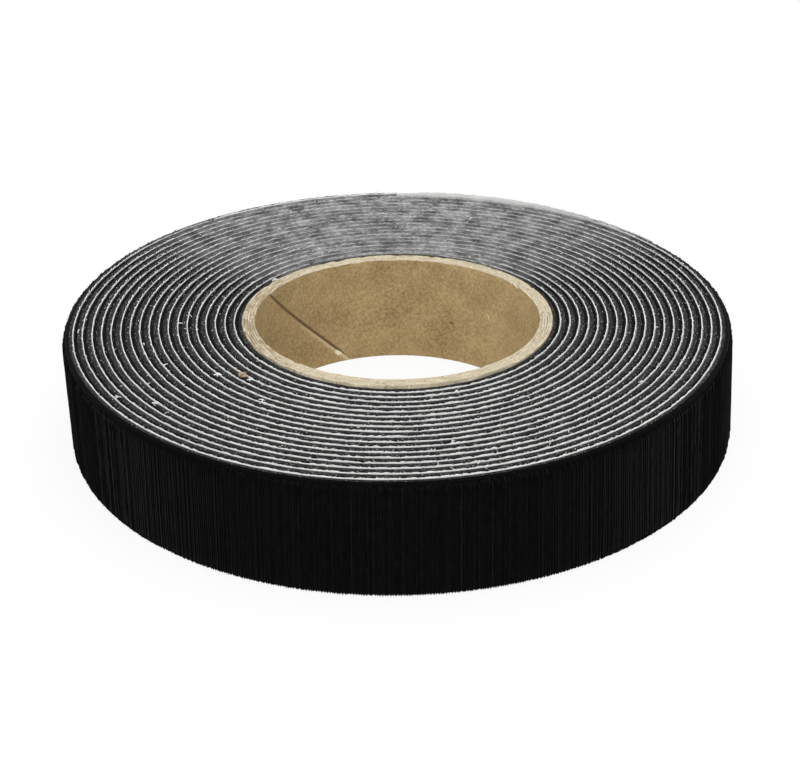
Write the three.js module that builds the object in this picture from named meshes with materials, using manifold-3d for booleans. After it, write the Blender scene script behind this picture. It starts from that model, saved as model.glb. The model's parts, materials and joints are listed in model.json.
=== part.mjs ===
// Roll of self-adhesive loop tape on a cardboard core, lying flat on one end.
// Millimetres, +Z up along the core's axis, origin on that axis at the surface that the roll lies on.
// The tape is one long strip of three layers: loop fabric outside, adhesive, and a paper release liner inside.
// It winds outwards clockwise seen from above. Travel is the angle wound so far, in degrees from the inner end.

import * as THREE from "three";
import { mergeVertices } from "three/addons/utils/BufferGeometryUtils.js";
import Module from "manifold-3d";

// Cardboard core: board strips wound on each other, each butting along a slanted seam
const CORE_BORE = 50.8;
const CORE_OVERHANG = 0.2;
const PLY_THICKNESS = 0.4;
const PLY_GLUE_LINE = 0.06;
const PLY_NAMES = ["core_inner_ply", "core_second_ply", "core_third_ply", "core_fourth_ply", "core_outer_ply"];
const SEAM_WIDTH = 0.25;
const SEAM_TILT_DEGREES = 44;
const SEAM_AZIMUTH_DEGREES = 133;
const SEAM_STAGGER_DEGREES = 144;

// Layers of the tape, and the clearances between them. The core and the other layers are cut to suit the
// fabric: an overhang reaches past each of its edges and an inset stays inside them.
const FABRIC_WIDTH = 20;
const FABRIC_THICKNESS = 0.95;
const ADHESIVE_INSET = 0.1;
const ADHESIVE_THICKNESS = 0.14;
const LINER_OVERHANG = 0.2;
const LINER_THICKNESS = 0.18;
const BOND_GAP = 0.1;
const WRAP_GAP = 0.2;

// Winding: the tape stays level for most of a turn and rises one layer just before it passes its inner end
const WRAP_COUNT = 19;
const UNLINED_TURNS = 1;
const INNER_END_AZIMUTH_DEGREES = 10;
const RISE_SPAN_DEGREES = 80;

// Free end: it lifts off the roll at one fold, its tip peels off the liner at another, and the liner runs on
const LIFT_LENGTH = 40;
const PEEL_LENGTH = 20;
const LINER_TAIL = 56;
const FOLD_GAP = 0.3;

// Facets
const RING_STEPS = 60;
const STEPS_PER_TURN = 18;
const OUTLINE_STEPS = 36;
const SHORTEST_STEP_DEGREES = 0.5;

// Finishes
const BOARD_INSIDE = { color: 0x98805a, roughness: 0.9, metalness: 0 };
const BOARD_MIDDLE = { color: 0xc9b58f, roughness: 0.95, metalness: 0 };
const LOOP_BLACK = { color: 0x161616, roughness: 0.95, metalness: 0 };
const ADHESIVE_CLEAR = { color: 0x33302b, roughness: 0.3, metalness: 0 };
const LINER_WHITE = { color: 0xeeeeea, roughness: 0.6, metalness: 0 };

// Worked-out sizes
const FULL_TURN_DEGREES = 360;
const CUT_MARGIN = 1;
const { degToRad, radToDeg, smoothstep } = THREE.MathUtils;
const coreLength = FABRIC_WIDTH + 2 * CORE_OVERHANG;
const fabricLow = Math.max(CORE_OVERHANG, LINER_OVERHANG);
const coreLow = fabricLow - CORE_OVERHANG;
const plyStep = PLY_THICKNESS + PLY_GLUE_LINE;
const coreOuterRadius = CORE_BORE / 2 + (PLY_NAMES.length - 1) * plyStep + PLY_THICKNESS;
const pitch = LINER_THICKNESS + BOND_GAP + ADHESIVE_THICKNESS + BOND_GAP + FABRIC_THICKNESS + WRAP_GAP;
const seatRadius = coreOuterRadius / Math.cos(Math.PI / STEPS_PER_TURN) + BOND_GAP;
const tapeThickness = ADHESIVE_THICKNESS + BOND_GAP + FABRIC_THICKNESS;
const outlineRadius = seatRadius + tapeThickness + (WRAP_COUNT - 1) * pitch;
const tipTravel = WRAP_COUNT * FULL_TURN_DEGREES - RISE_SPAN_DEGREES;
const outlineTravel = tipTravel - FULL_TURN_DEGREES;

// Where each layer lies: its inner face from the adhesive's inner face, its thickness, its lower edge and width
const FABRIC = {
  offset: ADHESIVE_THICKNESS + BOND_GAP,
  thickness: FABRIC_THICKNESS,
  low: fabricLow,
  width: FABRIC_WIDTH,
  finish: LOOP_BLACK,
};
const ADHESIVE = {
  offset: 0,
  thickness: ADHESIVE_THICKNESS,
  low: fabricLow + ADHESIVE_INSET,
  width: FABRIC_WIDTH - 2 * ADHESIVE_INSET,
  finish: ADHESIVE_CLEAR,
};
const LINER = {
  offset: -BOND_GAP - LINER_THICKNESS,
  thickness: LINER_THICKNESS,
  low: fabricLow - LINER_OVERHANG,
  width: FABRIC_WIDTH + 2 * LINER_OVERHANG,
  finish: LINER_WHITE,
};

const wasm = await Module();
wasm.setup();

/** Angle of travel, in degrees, that a length takes on the roll's outside. */
function travelOf(length) {
  return radToDeg(length / outlineRadius);
}

/** Layers under the tape at a travel: level, with a smooth rise at the end of each turn. */
function layersUnder(travel) {
  const passed = travel + RISE_SPAN_DEGREES;
  const turns = Math.floor(passed / FULL_TURN_DEGREES);
  if (turns === 0) {
    return 0;
  }
  const share = (passed - turns * FULL_TURN_DEGREES) / RISE_SPAN_DEGREES;
  return turns - 1 + smoothstep(share, 0, 1);
}

/** Travels of a strip's cross-sections: its two ends and the shared steps between, finer in the outer turn. */
function stations(start, end) {
  const travels = [start];
  let travel = 0;
  while (travel < end - SHORTEST_STEP_DEGREES) {
    if (travel > start + SHORTEST_STEP_DEGREES) {
      travels.push(travel);
    }
    travel += FULL_TURN_DEGREES / (travel < outlineTravel ? STEPS_PER_TURN : OUTLINE_STEPS);
  }
  travels.push(end);
  return travels;
}

/** Point of a layer in plan, at a travel and a depth from the layer's inner face. */
function planPoint(layer, travel, depth) {
  const radius = seatRadius + pitch * layersUnder(travel) + layer.offset + depth;
  const azimuth = degToRad(INNER_END_AZIMUTH_DEGREES - travel);
  return new THREE.Vector2(radius * Math.cos(azimuth), radius * Math.sin(azimuth));
}

/** Closed strip of one layer between two travels: a rectangle carried from station to station. */
function stripGeometry(layer, start, end) {
  const positions = [];
  const indices = [];
  const travels = stations(start, end);
  const high = layer.low + layer.width;
  for (const travel of travels) {
    const inner = planPoint(layer, travel, 0);
    const outer = planPoint(layer, travel, layer.thickness);
    positions.push(inner.x, inner.y, layer.low, outer.x, outer.y, layer.low);
    positions.push(outer.x, outer.y, high, inner.x, inner.y, high);
  }
  const corners = 4;
  for (let section = 0; section < travels.length - 1; section += 1) {
    for (let corner = 0; corner < corners; corner += 1) {
      const a = section * corners + corner;
      const b = section * corners + ((corner + 1) % corners);
      indices.push(a, b, b + corners, a, b + corners, a + corners);
    }
  }
  const last = (travels.length - 1) * corners;
  indices.push(0, 3, 2, 0, 2, 1);
  indices.push(last, last + 1, last + 2, last, last + 2, last + 3);
  const geometry = new THREE.BufferGeometry();
  geometry.setAttribute("position", new THREE.Float32BufferAttribute(positions, 3));
  geometry.setIndex(indices);
  geometry.computeVertexNormals();
  return geometry;
}

/** Least gap between one turn's outer face and the next turn's inner face, measured on points of both. */
function leastGapToItself(layer, start, end) {
  const travels = stations(start, end);
  let least = Infinity;
  for (const travel of travels) {
    const point = planPoint(layer, travel, layer.thickness);
    for (let next = 1; next < travels.length; next += 1) {
      const ahead = travels[next] - travel;
      if (ahead > FULL_TURN_DEGREES / 2 && ahead < FULL_TURN_DEGREES * 2) {
        const from = planPoint(layer, travels[next - 1], 0);
        const along = planPoint(layer, travels[next], 0).sub(from);
        const share = point.clone().sub(from).dot(along) / along.lengthSq();
        const nearest = from.addScaledVector(along, THREE.MathUtils.clamp(share, 0, 1));
        least = Math.min(least, nearest.distanceTo(point));
      }
    }
  }
  return least;
}

/** Solid of a closed geometry, with its shared vertices merged. */
function solidOf(geometry) {
  geometry.deleteAttribute("normal");
  geometry.deleteAttribute("uv");
  const merged = mergeVertices(geometry);
  const vertProperties = new Float32Array(merged.attributes.position.array);
  const triVerts = new Uint32Array(merged.index.array);
  return new wasm.Manifold(new wasm.Mesh({ numProp: 3, vertProperties, triVerts }));
}

/** One ply of the core: a ring of board with a slanted slit where the strip's edges butt. */
function plyGeometry(innerRadius, seamAzimuth) {
  const outerRadius = innerRadius + PLY_THICKNESS;
  const outline = new THREE.Shape().absarc(0, 0, outerRadius, 0, 2 * Math.PI);
  outline.holes.push(new THREE.Path().absarc(0, 0, innerRadius, 0, 2 * Math.PI));
  const ring = new THREE.ExtrudeGeometry(outline, {
    depth: coreLength,
    curveSegments: RING_STEPS / 2,
    bevelEnabled: false,
  });
  ring.translate(0, 0, coreLow);
  const tilt = degToRad(SEAM_TILT_DEGREES);
  const reach = outerRadius + CUT_MARGIN;
  const slit = new THREE.BoxGeometry(reach, SEAM_WIDTH, coreLength / Math.cos(tilt) + CUT_MARGIN);
  slit.translate(reach / 2, 0, 0);
  slit.rotateX(-tilt);
  slit.rotateZ(seamAzimuth);
  slit.translate(0, 0, coreLow + coreLength / 2);
  const cut = solidOf(ring).subtract(solidOf(slit)).getMesh();
  const geometry = new THREE.BufferGeometry();
  geometry.setAttribute("position", new THREE.Float32BufferAttribute(cut.vertProperties, 3));
  geometry.setIndex(Array.from(cut.triVerts));
  geometry.computeVertexNormals();
  return geometry;
}

/** Named mesh with a finish of its own. */
function piece(name, geometry, finish) {
  const mesh = new THREE.Mesh(geometry, new THREE.MeshStandardMaterial(finish));
  mesh.name = name;
  return mesh;
}

/** Core of plies, with their seams staggered round it. */
function core() {
  const group = new THREE.Group();
  PLY_NAMES.forEach((name, index) => {
    const innerRadius = CORE_BORE / 2 + index * plyStep;
    const seamAzimuth = degToRad(SEAM_AZIMUTH_DEGREES + index * SEAM_STAGGER_DEGREES);
    const isFace = index === 0 || index === PLY_NAMES.length - 1;
    group.add(piece(name, plyGeometry(innerRadius, seamAzimuth), isFace ? BOARD_INSIDE : BOARD_MIDDLE));
  });
  return group;
}

/** Strip of one layer as a named mesh. */
function strip(name, layer, start, end) {
  return piece(name, stripGeometry(layer, start, end), layer.finish);
}

/** Winding fixed on the core, up to the fold where the free end lifts. */
function winding(end) {
  const group = new THREE.Group();
  const wound = [
    ["loop_fabric", FABRIC, 0],
    ["adhesive_coat", ADHESIVE, 0],
    ["release_liner", LINER, UNLINED_TURNS * FULL_TURN_DEGREES],
  ];
  for (const [name, layer, start] of wound) {
    group.add(strip(name, layer, start, end));
    console.log(`${name}: least gap to itself ${leastGapToItself(layer, start, end).toFixed(3)} mm`);
  }
  return group;
}

/** Free end that lifts off the roll: all three layers to the peel fold, with the liner running past the tip. */
function freeEnd(start, end) {
  const group = new THREE.Group();
  group.add(strip("fabric_free_end", FABRIC, start, end));
  group.add(strip("adhesive_free_end", ADHESIVE, start, end));
  group.add(strip("liner_free_end", LINER, start, tipTravel + travelOf(LINER_TAIL)));
  return group;
}

/** Tip that peels off the liner, with its adhesive. */
function peelTip(start) {
  const group = new THREE.Group();
  group.add(strip("fabric_tip", FABRIC, start, tipTravel));
  group.add(strip("adhesive_tip", ADHESIVE, start, tipTravel));
  return group;
}

const halfFold = travelOf(FOLD_GAP / 2);
const liftTravel = tipTravel - travelOf(LIFT_LENGTH);
const peelTravel = tipTravel - travelOf(PEEL_LENGTH);
const roll = new THREE.Group();
roll.add(core());
roll.add(winding(liftTravel - halfFold));
roll.add(freeEnd(liftTravel + halfFold, peelTravel - halfFold));
roll.add(peelTip(peelTravel + halfFold));

export default roll;
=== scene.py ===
"""Roll of self-adhesive loop tape on a cardboard core, dressed for a studio picture.

The tape is one strip of three layers, paper liner, adhesive and black loop fabric, wound clockwise outwards
on a core of five board plies. Sizes in the classes' fields are millimetres and degrees, and meshes are in
metres. Travel is the angle wound so far from the tape's inner end, and depth is measured outwards from the
path.
"""

import json
import logging
import math
import random
from dataclasses import dataclass, replace
from enum import Enum
from functools import reduce
from typing import Any, ClassVar

import bmesh
import bpy
import numpy as np
from mathutils import Euler, Matrix, Vector, noise


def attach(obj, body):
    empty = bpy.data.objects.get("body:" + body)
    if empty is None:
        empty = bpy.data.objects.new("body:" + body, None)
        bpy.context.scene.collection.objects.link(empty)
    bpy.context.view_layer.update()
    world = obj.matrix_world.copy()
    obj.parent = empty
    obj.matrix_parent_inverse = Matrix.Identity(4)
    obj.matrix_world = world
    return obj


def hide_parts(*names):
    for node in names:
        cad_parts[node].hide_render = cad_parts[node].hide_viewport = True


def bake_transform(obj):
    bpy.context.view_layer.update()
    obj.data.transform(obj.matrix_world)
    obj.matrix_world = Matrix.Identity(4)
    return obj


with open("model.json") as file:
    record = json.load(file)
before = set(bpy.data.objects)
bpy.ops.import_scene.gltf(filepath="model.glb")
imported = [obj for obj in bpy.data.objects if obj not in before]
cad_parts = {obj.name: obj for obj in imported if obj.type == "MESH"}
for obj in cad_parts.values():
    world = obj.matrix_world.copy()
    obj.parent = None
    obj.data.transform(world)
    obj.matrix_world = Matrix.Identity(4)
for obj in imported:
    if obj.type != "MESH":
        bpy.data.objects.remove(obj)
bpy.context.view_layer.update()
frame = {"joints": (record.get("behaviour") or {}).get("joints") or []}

MM = 0.001
FULL_TURN = 360.0
SMOOTH_ANGLE = math.radians(40.0)
NOISE_MIDDLE = 0.5
LOG = logging.getLogger("tape_roll")

Colour = tuple[float, float, float, float]
Point = tuple[float, float, float]
Range = tuple[float, float]
Socket = bpy.types.NodeSocket


class Body(Enum):
    """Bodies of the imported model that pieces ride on."""

    ROLL = "roll"
    FREE_END = "free_end"
    PEEL_TIP = "peel_tip"


class Slot(Enum):
    """Material slots of the record."""

    BOARD_FACE = "core_board_face"
    BOARD = "core_board"
    FABRIC = "loop_fabric"
    ADHESIVE = "adhesive"
    LINER = "liner_paper"


class Showing(Enum):
    """Which plain face of a core ply shows."""

    BORE = "bore"
    OUTSIDE = "outside"
    NEITHER = "neither"


class Kind(Enum):
    """Kinds of socket on the node groups."""

    FLOAT = "NodeSocketFloat"
    COUNT = "NodeSocketInt"
    VECTOR = "NodeSocketVector"
    OBJECT = "NodeSocketObject"
    MATERIAL = "NodeSocketMaterial"
    GEOMETRY = "NodeSocketGeometry"


class Effect(Enum):
    """Shader effects that several finishes share, by the names of their node groups."""

    MOTTLE = "cloudy_mottle"
    FIBRES = "stray_fibres"
    SPECKS = "fine_specks"
    # Dust on the strips' edges, with a painted sheen that makes them paler at the back of the roll.
    DUST = "edge_dust"


# Node trees


class Sheet:
    """A node tree being drawn up: adds nodes, sets their inputs and wires them."""

    def __init__(self, tree: bpy.types.NodeTree) -> None:
        """Keeps the tree to draw on."""
        self.tree = tree

    def add(self, kind: str, inputs: dict[str | int, Any] | None = None, **settings: Any) -> bpy.types.Node:
        """Adds a node.

        Args:
            kind: the node's type name.
            inputs: values or sockets for its inputs, by name or index.
            settings: the node's own options.

        Returns:
            The new node.
        """
        node = self.tree.nodes.new(kind)
        for name, value in settings.items():
            setattr(node, name, value)
        for key, value in (inputs or {}).items():
            self.feed(node.inputs[key], value)
        return node

    def feed(self, socket: Socket, value: Any) -> None:
        """Links a socket to another one, or sets its value.

        Args:
            socket: the input to fill.
            value: another socket, or a plain value.
        """
        if isinstance(value, bpy.types.NodeSocket):
            self.tree.links.new(value, socket)
        else:
            socket.default_value = value

    def math(self, operation: str, *values: Any) -> Socket:
        """Adds a Math node and returns its result."""
        return self.add("ShaderNodeMath", dict(enumerate(values)), operation=operation).outputs[0]

    def times(self, *values: Any) -> Socket:
        """Returns the product of two or more numbers."""
        return reduce(lambda product, value: self.math("MULTIPLY", product, value), values)

    def plus(self, *values: Any) -> Socket:
        """Returns the sum of two or more numbers."""
        return reduce(lambda total, value: self.math("ADD", total, value), values)

    def minus(self, first: Any, second: Any) -> Socket:
        """Returns the difference of two numbers."""
        return self.math("SUBTRACT", first, second)

    def over(self, first: Any, second: Any) -> Socket:
        """Returns one number divided by another."""
        return self.math("DIVIDE", first, second)

    def vector(self, operation: str, *values: Any) -> Socket:
        """Adds a Vector Math node and returns the vector it makes."""
        return self.add("ShaderNodeVectorMath", dict(enumerate(values)), operation=operation).outputs[0]

    def length(self, vector: Any) -> Socket:
        """Returns a vector's length."""
        return self.add("ShaderNodeVectorMath", {0: vector}, operation="LENGTH").outputs["Value"]

    def dot(self, first: Any, second: Any) -> Socket:
        """Returns the dot product of two vectors."""
        inputs = {0: first, 1: second}
        return self.add("ShaderNodeVectorMath", inputs, operation="DOT_PRODUCT").outputs["Value"]

    def scaled(self, vector: Any, factor: Any) -> Socket:
        """Returns a vector times a number."""
        return self.add("ShaderNodeVectorMath", {0: vector, "Scale": factor}, operation="SCALE").outputs[0]

    def combine(self, x: Any = 0.0, y: Any = 0.0, z: Any = 0.0) -> Socket:
        """Returns a vector made of three numbers."""
        return self.add("ShaderNodeCombineXYZ", {0: x, 1: y, 2: z}).outputs[0]

    def split(self, vector: Any) -> bpy.types.NodeOutputs:
        """Returns the three numbers of a vector."""
        return self.add("ShaderNodeSeparateXYZ", {0: vector}).outputs

    def spread(self, value: Any, low: Any, high: Any, to_low: Any = 0.0, to_high: Any = 1.0,
               style: str = "SMOOTHSTEP") -> Socket:
        """Maps a value from one range to another.

        Args:
            value: what is mapped.
            low: start of its range.
            high: end of its range.
            to_low: result at the start.
            to_high: result at the end.
            style: how it runs between them.

        Returns:
            The mapped value.
        """
        inputs = {0: value, 1: low, 2: high, 3: to_low, 4: to_high}
        return self.add("ShaderNodeMapRange", inputs, interpolation_type=style).outputs[0]

    def noise(self, vector: Any, scale: Any, detail: float = 2.0, seed: Any = 0.0,
              roughness: float = 0.5) -> bpy.types.Node:
        """Adds a noise texture.

        Args:
            vector: the coordinates it lies on.
            scale: how often it repeats in a unit.
            detail: how many finer layers it has.
            seed: which noise it is.
            roughness: how strong the finer layers are.

        Returns:
            The texture's node.
        """
        inputs = {"Vector": vector, "W": seed, "Scale": scale, "Detail": detail, "Roughness": roughness}
        return self.add("ShaderNodeTexNoise", inputs, noise_dimensions="4D")

    def centred_noise(self, vector: Any, scale: Any, detail: float, seed: Any,
                      roughness: float = 0.5) -> Socket:
        """Returns noise that swings to both sides of 0."""
        return self.minus(self.noise(vector, scale, detail, seed, roughness).outputs[0], NOISE_MIDDLE)

    def mix(self, share: Any, first: Any, second: Any) -> Socket:
        """Returns a mix of two colours."""
        return self.add("ShaderNodeMix", {0: share, 6: first, 7: second}, data_type="RGBA").outputs[2]

    def effect(self, effect: Effect, values: dict[str, Any]) -> bpy.types.NodeOutputs:
        """Places a shared effect with its own values and returns what it puts out."""
        return self.add("ShaderNodeGroup", values, node_tree=bpy.data.node_groups[effect.value]).outputs


def floats(*names: str) -> dict[str, Kind]:
    """Lists a float socket for each name."""
    return {name: Kind.FLOAT for name in names}


class GroupSheet(Sheet):
    """A node group being drawn up, with named inputs and outputs."""

    kind: ClassVar[str]

    def __init__(self, name: str, inputs: dict[str, Kind], outputs: dict[str, Kind]) -> None:
        """Makes the group.

        Args:
            name: the group's name.
            inputs: kind of each input, by name.
            outputs: kind of each output, by name.
        """
        super().__init__(bpy.data.node_groups.new(name, self.kind))
        for side, sockets in (("INPUT", inputs), ("OUTPUT", outputs)):
            for label, socket in sockets.items():
                self.tree.interface.new_socket(name=label, in_out=side, socket_type=socket.value)
        self.given = self.tree.nodes.new("NodeGroupInput").outputs
        self.result = self.tree.nodes.new("NodeGroupOutput").inputs


class ShaderSheet(GroupSheet):
    """A shader node group being drawn up."""

    kind = "ShaderNodeTree"


class GeometrySheet(GroupSheet):
    """A geometry node group being drawn up."""

    kind = "GeometryNodeTree"
    draws_per_seed: ClassVar[float] = 10.0
    level: ClassVar[Point] = (1.0, 1.0, 0.0)

    def named(self, name: str) -> Socket:
        """Reads a named number off the geometry."""
        return self.add("GeometryNodeInputNamedAttribute", {"Name": name}, data_type="FLOAT").outputs[0]

    def store(self, geometry: Socket, name: str, value: Socket) -> Socket:
        """Keeps a number on the geometry's points under a name."""
        inputs = {"Geometry": geometry, "Name": name, "Value": value}
        return self.add(
            "GeometryNodeStoreNamedAttribute", inputs, data_type="FLOAT", domain="POINT",
        ).outputs[0]

    def position(self) -> Socket:
        """Returns each point's place."""
        return self.add("GeometryNodeInputPosition").outputs[0]

    def move(self, geometry: Socket, **place: Socket) -> Socket:
        """Sets the points' position or moves them by an offset."""
        return self.add("GeometryNodeSetPosition", {"Geometry": geometry, **place}).outputs[0]

    def finish(self, geometry: Socket, material: Socket, selection: Any = True) -> Socket:
        """Gives the selected faces a material."""
        inputs = {"Geometry": geometry, "Selection": selection, "Material": material}
        return self.add("GeometryNodeSetMaterial", inputs).outputs[0]

    def draw_seed(self, draw: int) -> Socket:
        """Seed of one random draw, from the group's own seed."""
        return self.plus(self.times(self.given["Seed"], self.draws_per_seed), float(draw))

    def chance(self, low: Any, high: Any, draw: int) -> Socket:
        """A random number for each point."""
        inputs = {2: low, 3: high, "Seed": self.draw_seed(draw)}
        return self.add("FunctionNodeRandomValue", inputs, data_type="FLOAT").outputs[1]

    def chance_vector(self, low: Any, high: Any, draw: int) -> Socket:
        """Three random numbers for each point."""
        inputs = {0: low, 1: high, "Seed": self.draw_seed(draw)}
        return self.add("FunctionNodeRandomValue", inputs, data_type="FLOAT_VECTOR").outputs[0]

    def leaning(self) -> Socket:
        """Finds how far the roll's outer turns lean out towards its lower end on one side.

        Returns:
            The offset of each point, for a group with the path's inputs.
        """
        given = self.given
        place = self.position()
        flat = self.vector("MULTIPLY", place, self.level)
        outwards = self.vector("NORMALIZE", flat)
        depth = self.minus(self.length(flat), given["Seat Radius"])
        wound = self.math("MAXIMUM", self.times(given["Pitch"], given["Layers"]), MM)
        share = self.spread(self.over(depth, wound), 0.0, 1.0, style="LINEAR")
        low = self.spread(self.split(place)[2], given["Height"], 0.0, style="LINEAR")
        turn = given["Splay Azimuth"]
        towards = self.combine(self.math("COSINE", turn), self.math("SINE", turn))
        reach = self.times(share, low, given["Splay"], self.dot(outwards, towards))
        return self.scaled(outwards, reach)


# Effects that several finishes share


@dataclass(frozen=True)
class Pattern:
    """Shared effect with its own values: repeats in a metre, amount, seed and how it is drawn out."""

    effect: ClassVar[Effect]
    scale: float
    amount: float
    seed: float = 0.0
    drawn_out: Point = (1.0, 1.0, 1.0)

    def on(self, sheet: Sheet, place: Socket) -> Socket:
        """Lays the pattern on a surface.

        Args:
            sheet: the nodes of a material or a group.
            place: coordinates along the surface.

        Returns:
            The pattern's value, from 0 to 1.
        """
        laid = sheet.vector("MULTIPLY", place, self.drawn_out)
        values = {"Vector": laid, "Scale": self.scale, "Amount": self.amount, "Seed": self.seed}
        return sheet.effect(self.effect, values)["Value"]


class Mottle(Pattern):
    """Cloudy variation with a fine grain on it; the smaller its amount, the stronger its contrast."""

    effect = Effect.MOTTLE


class Fibres(Pattern):
    """Stray fibres, thin streaks in several directions; their amount is how much they cover."""

    effect = Effect.FIBRES


class Specks(Pattern):
    """Small round spots of uneven strength; their amount is how much they cover."""

    effect = Effect.SPECKS


@dataclass(frozen=True)
class Effects:
    """Maker of the shared effects, each a shader node group."""

    cloud_detail: float = 6.0
    fibre_turns: Point = (12.0, 71.0, 137.0)
    fibre_stretch: Point = (1.0, 7.0, 1.0)
    fibre_detail: float = 1.5
    fibre_limit: float = 0.74
    fibre_gain: float = 0.2
    fibre_rim: float = 0.05
    spot_rim: Range = (0.45, 0.15)
    speck_rim: float = 0.12
    # The mask grows towards the back of the roll: partly dust, partly a painted sheen standing in for grazing
    # light on the edges.
    dust_behind: Range = (0.38, 1.0)
    dust_and_sheen_most: float = 0.72
    dust_and_sheen_heights: Range = (19.2, 19.7)
    dust_and_sheen_grain: Mottle = Mottle(1900.0, 0.25, 19.0)
    dust_and_sheen_grain_shares: Range = (0.5, 1.1)
    dust_and_sheen_patches: Mottle = Mottle(290.0, 0.15, 18.0)

    def build(self) -> None:
        """Builds the groups once, the mottle before the dust and painted sheen that holds it."""
        for make in (self.make_mottle, self.make_fibres, self.make_specks, self.make_dust_and_sheen):
            make()

    @staticmethod
    def pattern(effect: Effect) -> ShaderSheet:
        """Starts the group of a pattern."""
        inputs = {"Vector": Kind.VECTOR, **floats("Scale", "Amount", "Seed")}
        return ShaderSheet(effect.value, inputs, floats("Value"))

    def make_mottle(self) -> None:
        """Makes cloudy variation with a fine grain on it."""
        sheet = self.pattern(Effect.MOTTLE)
        given = sheet.given
        cloud = sheet.noise(given["Vector"], given["Scale"], self.cloud_detail, given["Seed"]).outputs[0]
        low = sheet.minus(NOISE_MIDDLE, given["Amount"])
        high = sheet.plus(NOISE_MIDDLE, given["Amount"])
        sheet.feed(sheet.result["Value"], sheet.spread(cloud, low, high, style="LINEAR"))

    def make_fibres(self) -> None:
        """Makes stray fibres: thin streaks in several directions of the surface."""
        sheet = self.pattern(Effect.FIBRES)
        given = sheet.given
        edge = sheet.minus(self.fibre_limit, sheet.times(given["Amount"], self.fibre_gain))
        edge_end = sheet.plus(edge, self.fibre_rim)
        mask: Any = 0.0
        for turn in self.fibre_turns:
            inputs = {
                "Vector": given["Vector"],
                "Rotation": (0.0, 0.0, math.radians(turn)),
                "Scale": self.fibre_stretch,
            }
            laid = sheet.add("ShaderNodeMapping", inputs, vector_type="TEXTURE").outputs[0]
            seed = sheet.plus(given["Seed"], turn)
            streak = sheet.noise(laid, given["Scale"], self.fibre_detail, seed).outputs[0]
            mask = sheet.math("MAXIMUM", mask, sheet.spread(streak, edge, edge_end))
        sheet.feed(sheet.result["Value"], mask)

    def make_specks(self) -> None:
        """Makes fine specks: small round spots of uneven strength."""
        sheet = self.pattern(Effect.SPECKS)
        given = sheet.given
        shift = sheet.combine(given["Seed"], given["Seed"], given["Seed"])
        inputs = {"Vector": sheet.vector("ADD", given["Vector"], shift), "Scale": given["Scale"]}
        cell = sheet.add("ShaderNodeTexVoronoi", inputs)
        spot = sheet.spread(cell.outputs["Distance"], *self.spot_rim)
        strength = sheet.add("ShaderNodeSeparateColor", {0: cell.outputs["Color"]}).outputs[0]
        limit = sheet.minus(1.0, given["Amount"])
        kept = sheet.spread(strength, limit, sheet.plus(limit, self.speck_rim))
        sheet.feed(sheet.result["Value"], sheet.times(spot, kept))

    def make_dust_and_sheen(self) -> None:
        """Makes patchy dust and a painted sheen on the strips' upper edges, thickest at the back where the
        sheen is painted light: a mask and how pale it is.
        """
        sheet = ShaderSheet(Effect.DUST.value, {"Place": Kind.VECTOR}, floats("Mask", "Tone"))
        place = sheet.given["Place"]
        x, y, z = sheet.split(place)
        backwards = sheet.over(y, sheet.length(sheet.combine(x, y)))
        # Painted sheen: the mask grows towards the back of the roll, away from the camera.
        behind = sheet.spread(backwards, *self.dust_behind, 0.0, self.dust_and_sheen_most)
        above = sheet.spread(z, *(height * MM for height in self.dust_and_sheen_heights))
        grain = sheet.spread(self.dust_and_sheen_grain.on(sheet, place), 0.0, 1.0, *self.dust_and_sheen_grain_shares)
        sheet.feed(sheet.result["Mask"], sheet.times(behind, above, grain))
        sheet.feed(sheet.result["Tone"], self.dust_and_sheen_patches.on(sheet, place))


# Finishes


class Coat(Sheet):
    """A material being drawn up, with its Principled shader."""

    # Tones of the dust and the painted sheen on the strips' edges at the back.
    dark_dust_and_sheen: ClassVar[Colour] = (0.12, 0.12, 0.122, 1.0)
    pale_dust_and_sheen: ClassVar[Colour] = (0.5, 0.5, 0.495, 1.0)

    def __init__(self, name: str) -> None:
        """Starts the material.

        Args:
            name: the material's name.
        """
        self.material = bpy.data.materials.new(name)
        self.material.use_nodes = True
        super().__init__(self.material.node_tree)
        self.shader = self.tree.nodes["Principled BSDF"]

    def hold(self, values: dict[str, Any]) -> None:
        """Sets what is the same all over the surface on the shader's own sockets."""
        for name, value in values.items():
            self.shader.inputs[name].default_value = value

    def attribute(self, name: str) -> Socket:
        """Reads a number that the mesh carries under a name."""
        return self.add("ShaderNodeAttribute", attribute_name=name).outputs["Fac"]

    def own_place(self) -> Socket:
        """Coordinates of the object itself, in metres."""
        return self.add("ShaderNodeTexCoord").outputs["Object"]

    def surface(self) -> Socket:
        """Coordinates that follow a strip: length along it, height and radius, in metres."""
        x, y, z = self.split(self.own_place())
        return self.combine(self.attribute("along"), z, self.length(self.combine(x, y)))

    def sideways(self) -> Socket:
        """How far to the right a point lies on its ring, from -1 to 1."""
        x, y, _ = self.split(self.own_place())
        return self.over(x, self.length(self.combine(x, y)))

    def with_dust_and_sheen(self, colour: Socket) -> Socket:
        """Lays dust and a painted sheen on the upper edge of a strip at the back of the roll and returns its
        new colour.
        """
        # Dust mixed with painted sheen, thickest at the back.
        dust = self.effect(Effect.DUST, {"Place": self.own_place()})
        return self.mix(dust["Mask"], colour, self.mix(dust["Tone"], self.dark_dust_and_sheen, self.pale_dust_and_sheen))

    def bump(self, height: Socket, depth: float, strength: float) -> None:
        """Gives the shader a bump of a depth in millimetres."""
        inputs = {"Height": height, "Distance": depth * MM, "Strength": strength}
        self.feed(self.shader.inputs["Normal"], self.add("ShaderNodeBump", inputs).outputs[0])


@dataclass(frozen=True)
class Stain:
    """Pattern that lays a colour on the one under it."""

    pattern: Pattern
    colour: Colour
    strength: float

    def on(self, coat: Coat, place: Socket, colour: Socket) -> Socket:
        """Stains a colour where the pattern lies."""
        return coat.mix(coat.times(self.pattern.on(coat, place), self.strength), colour, self.colour)


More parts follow.
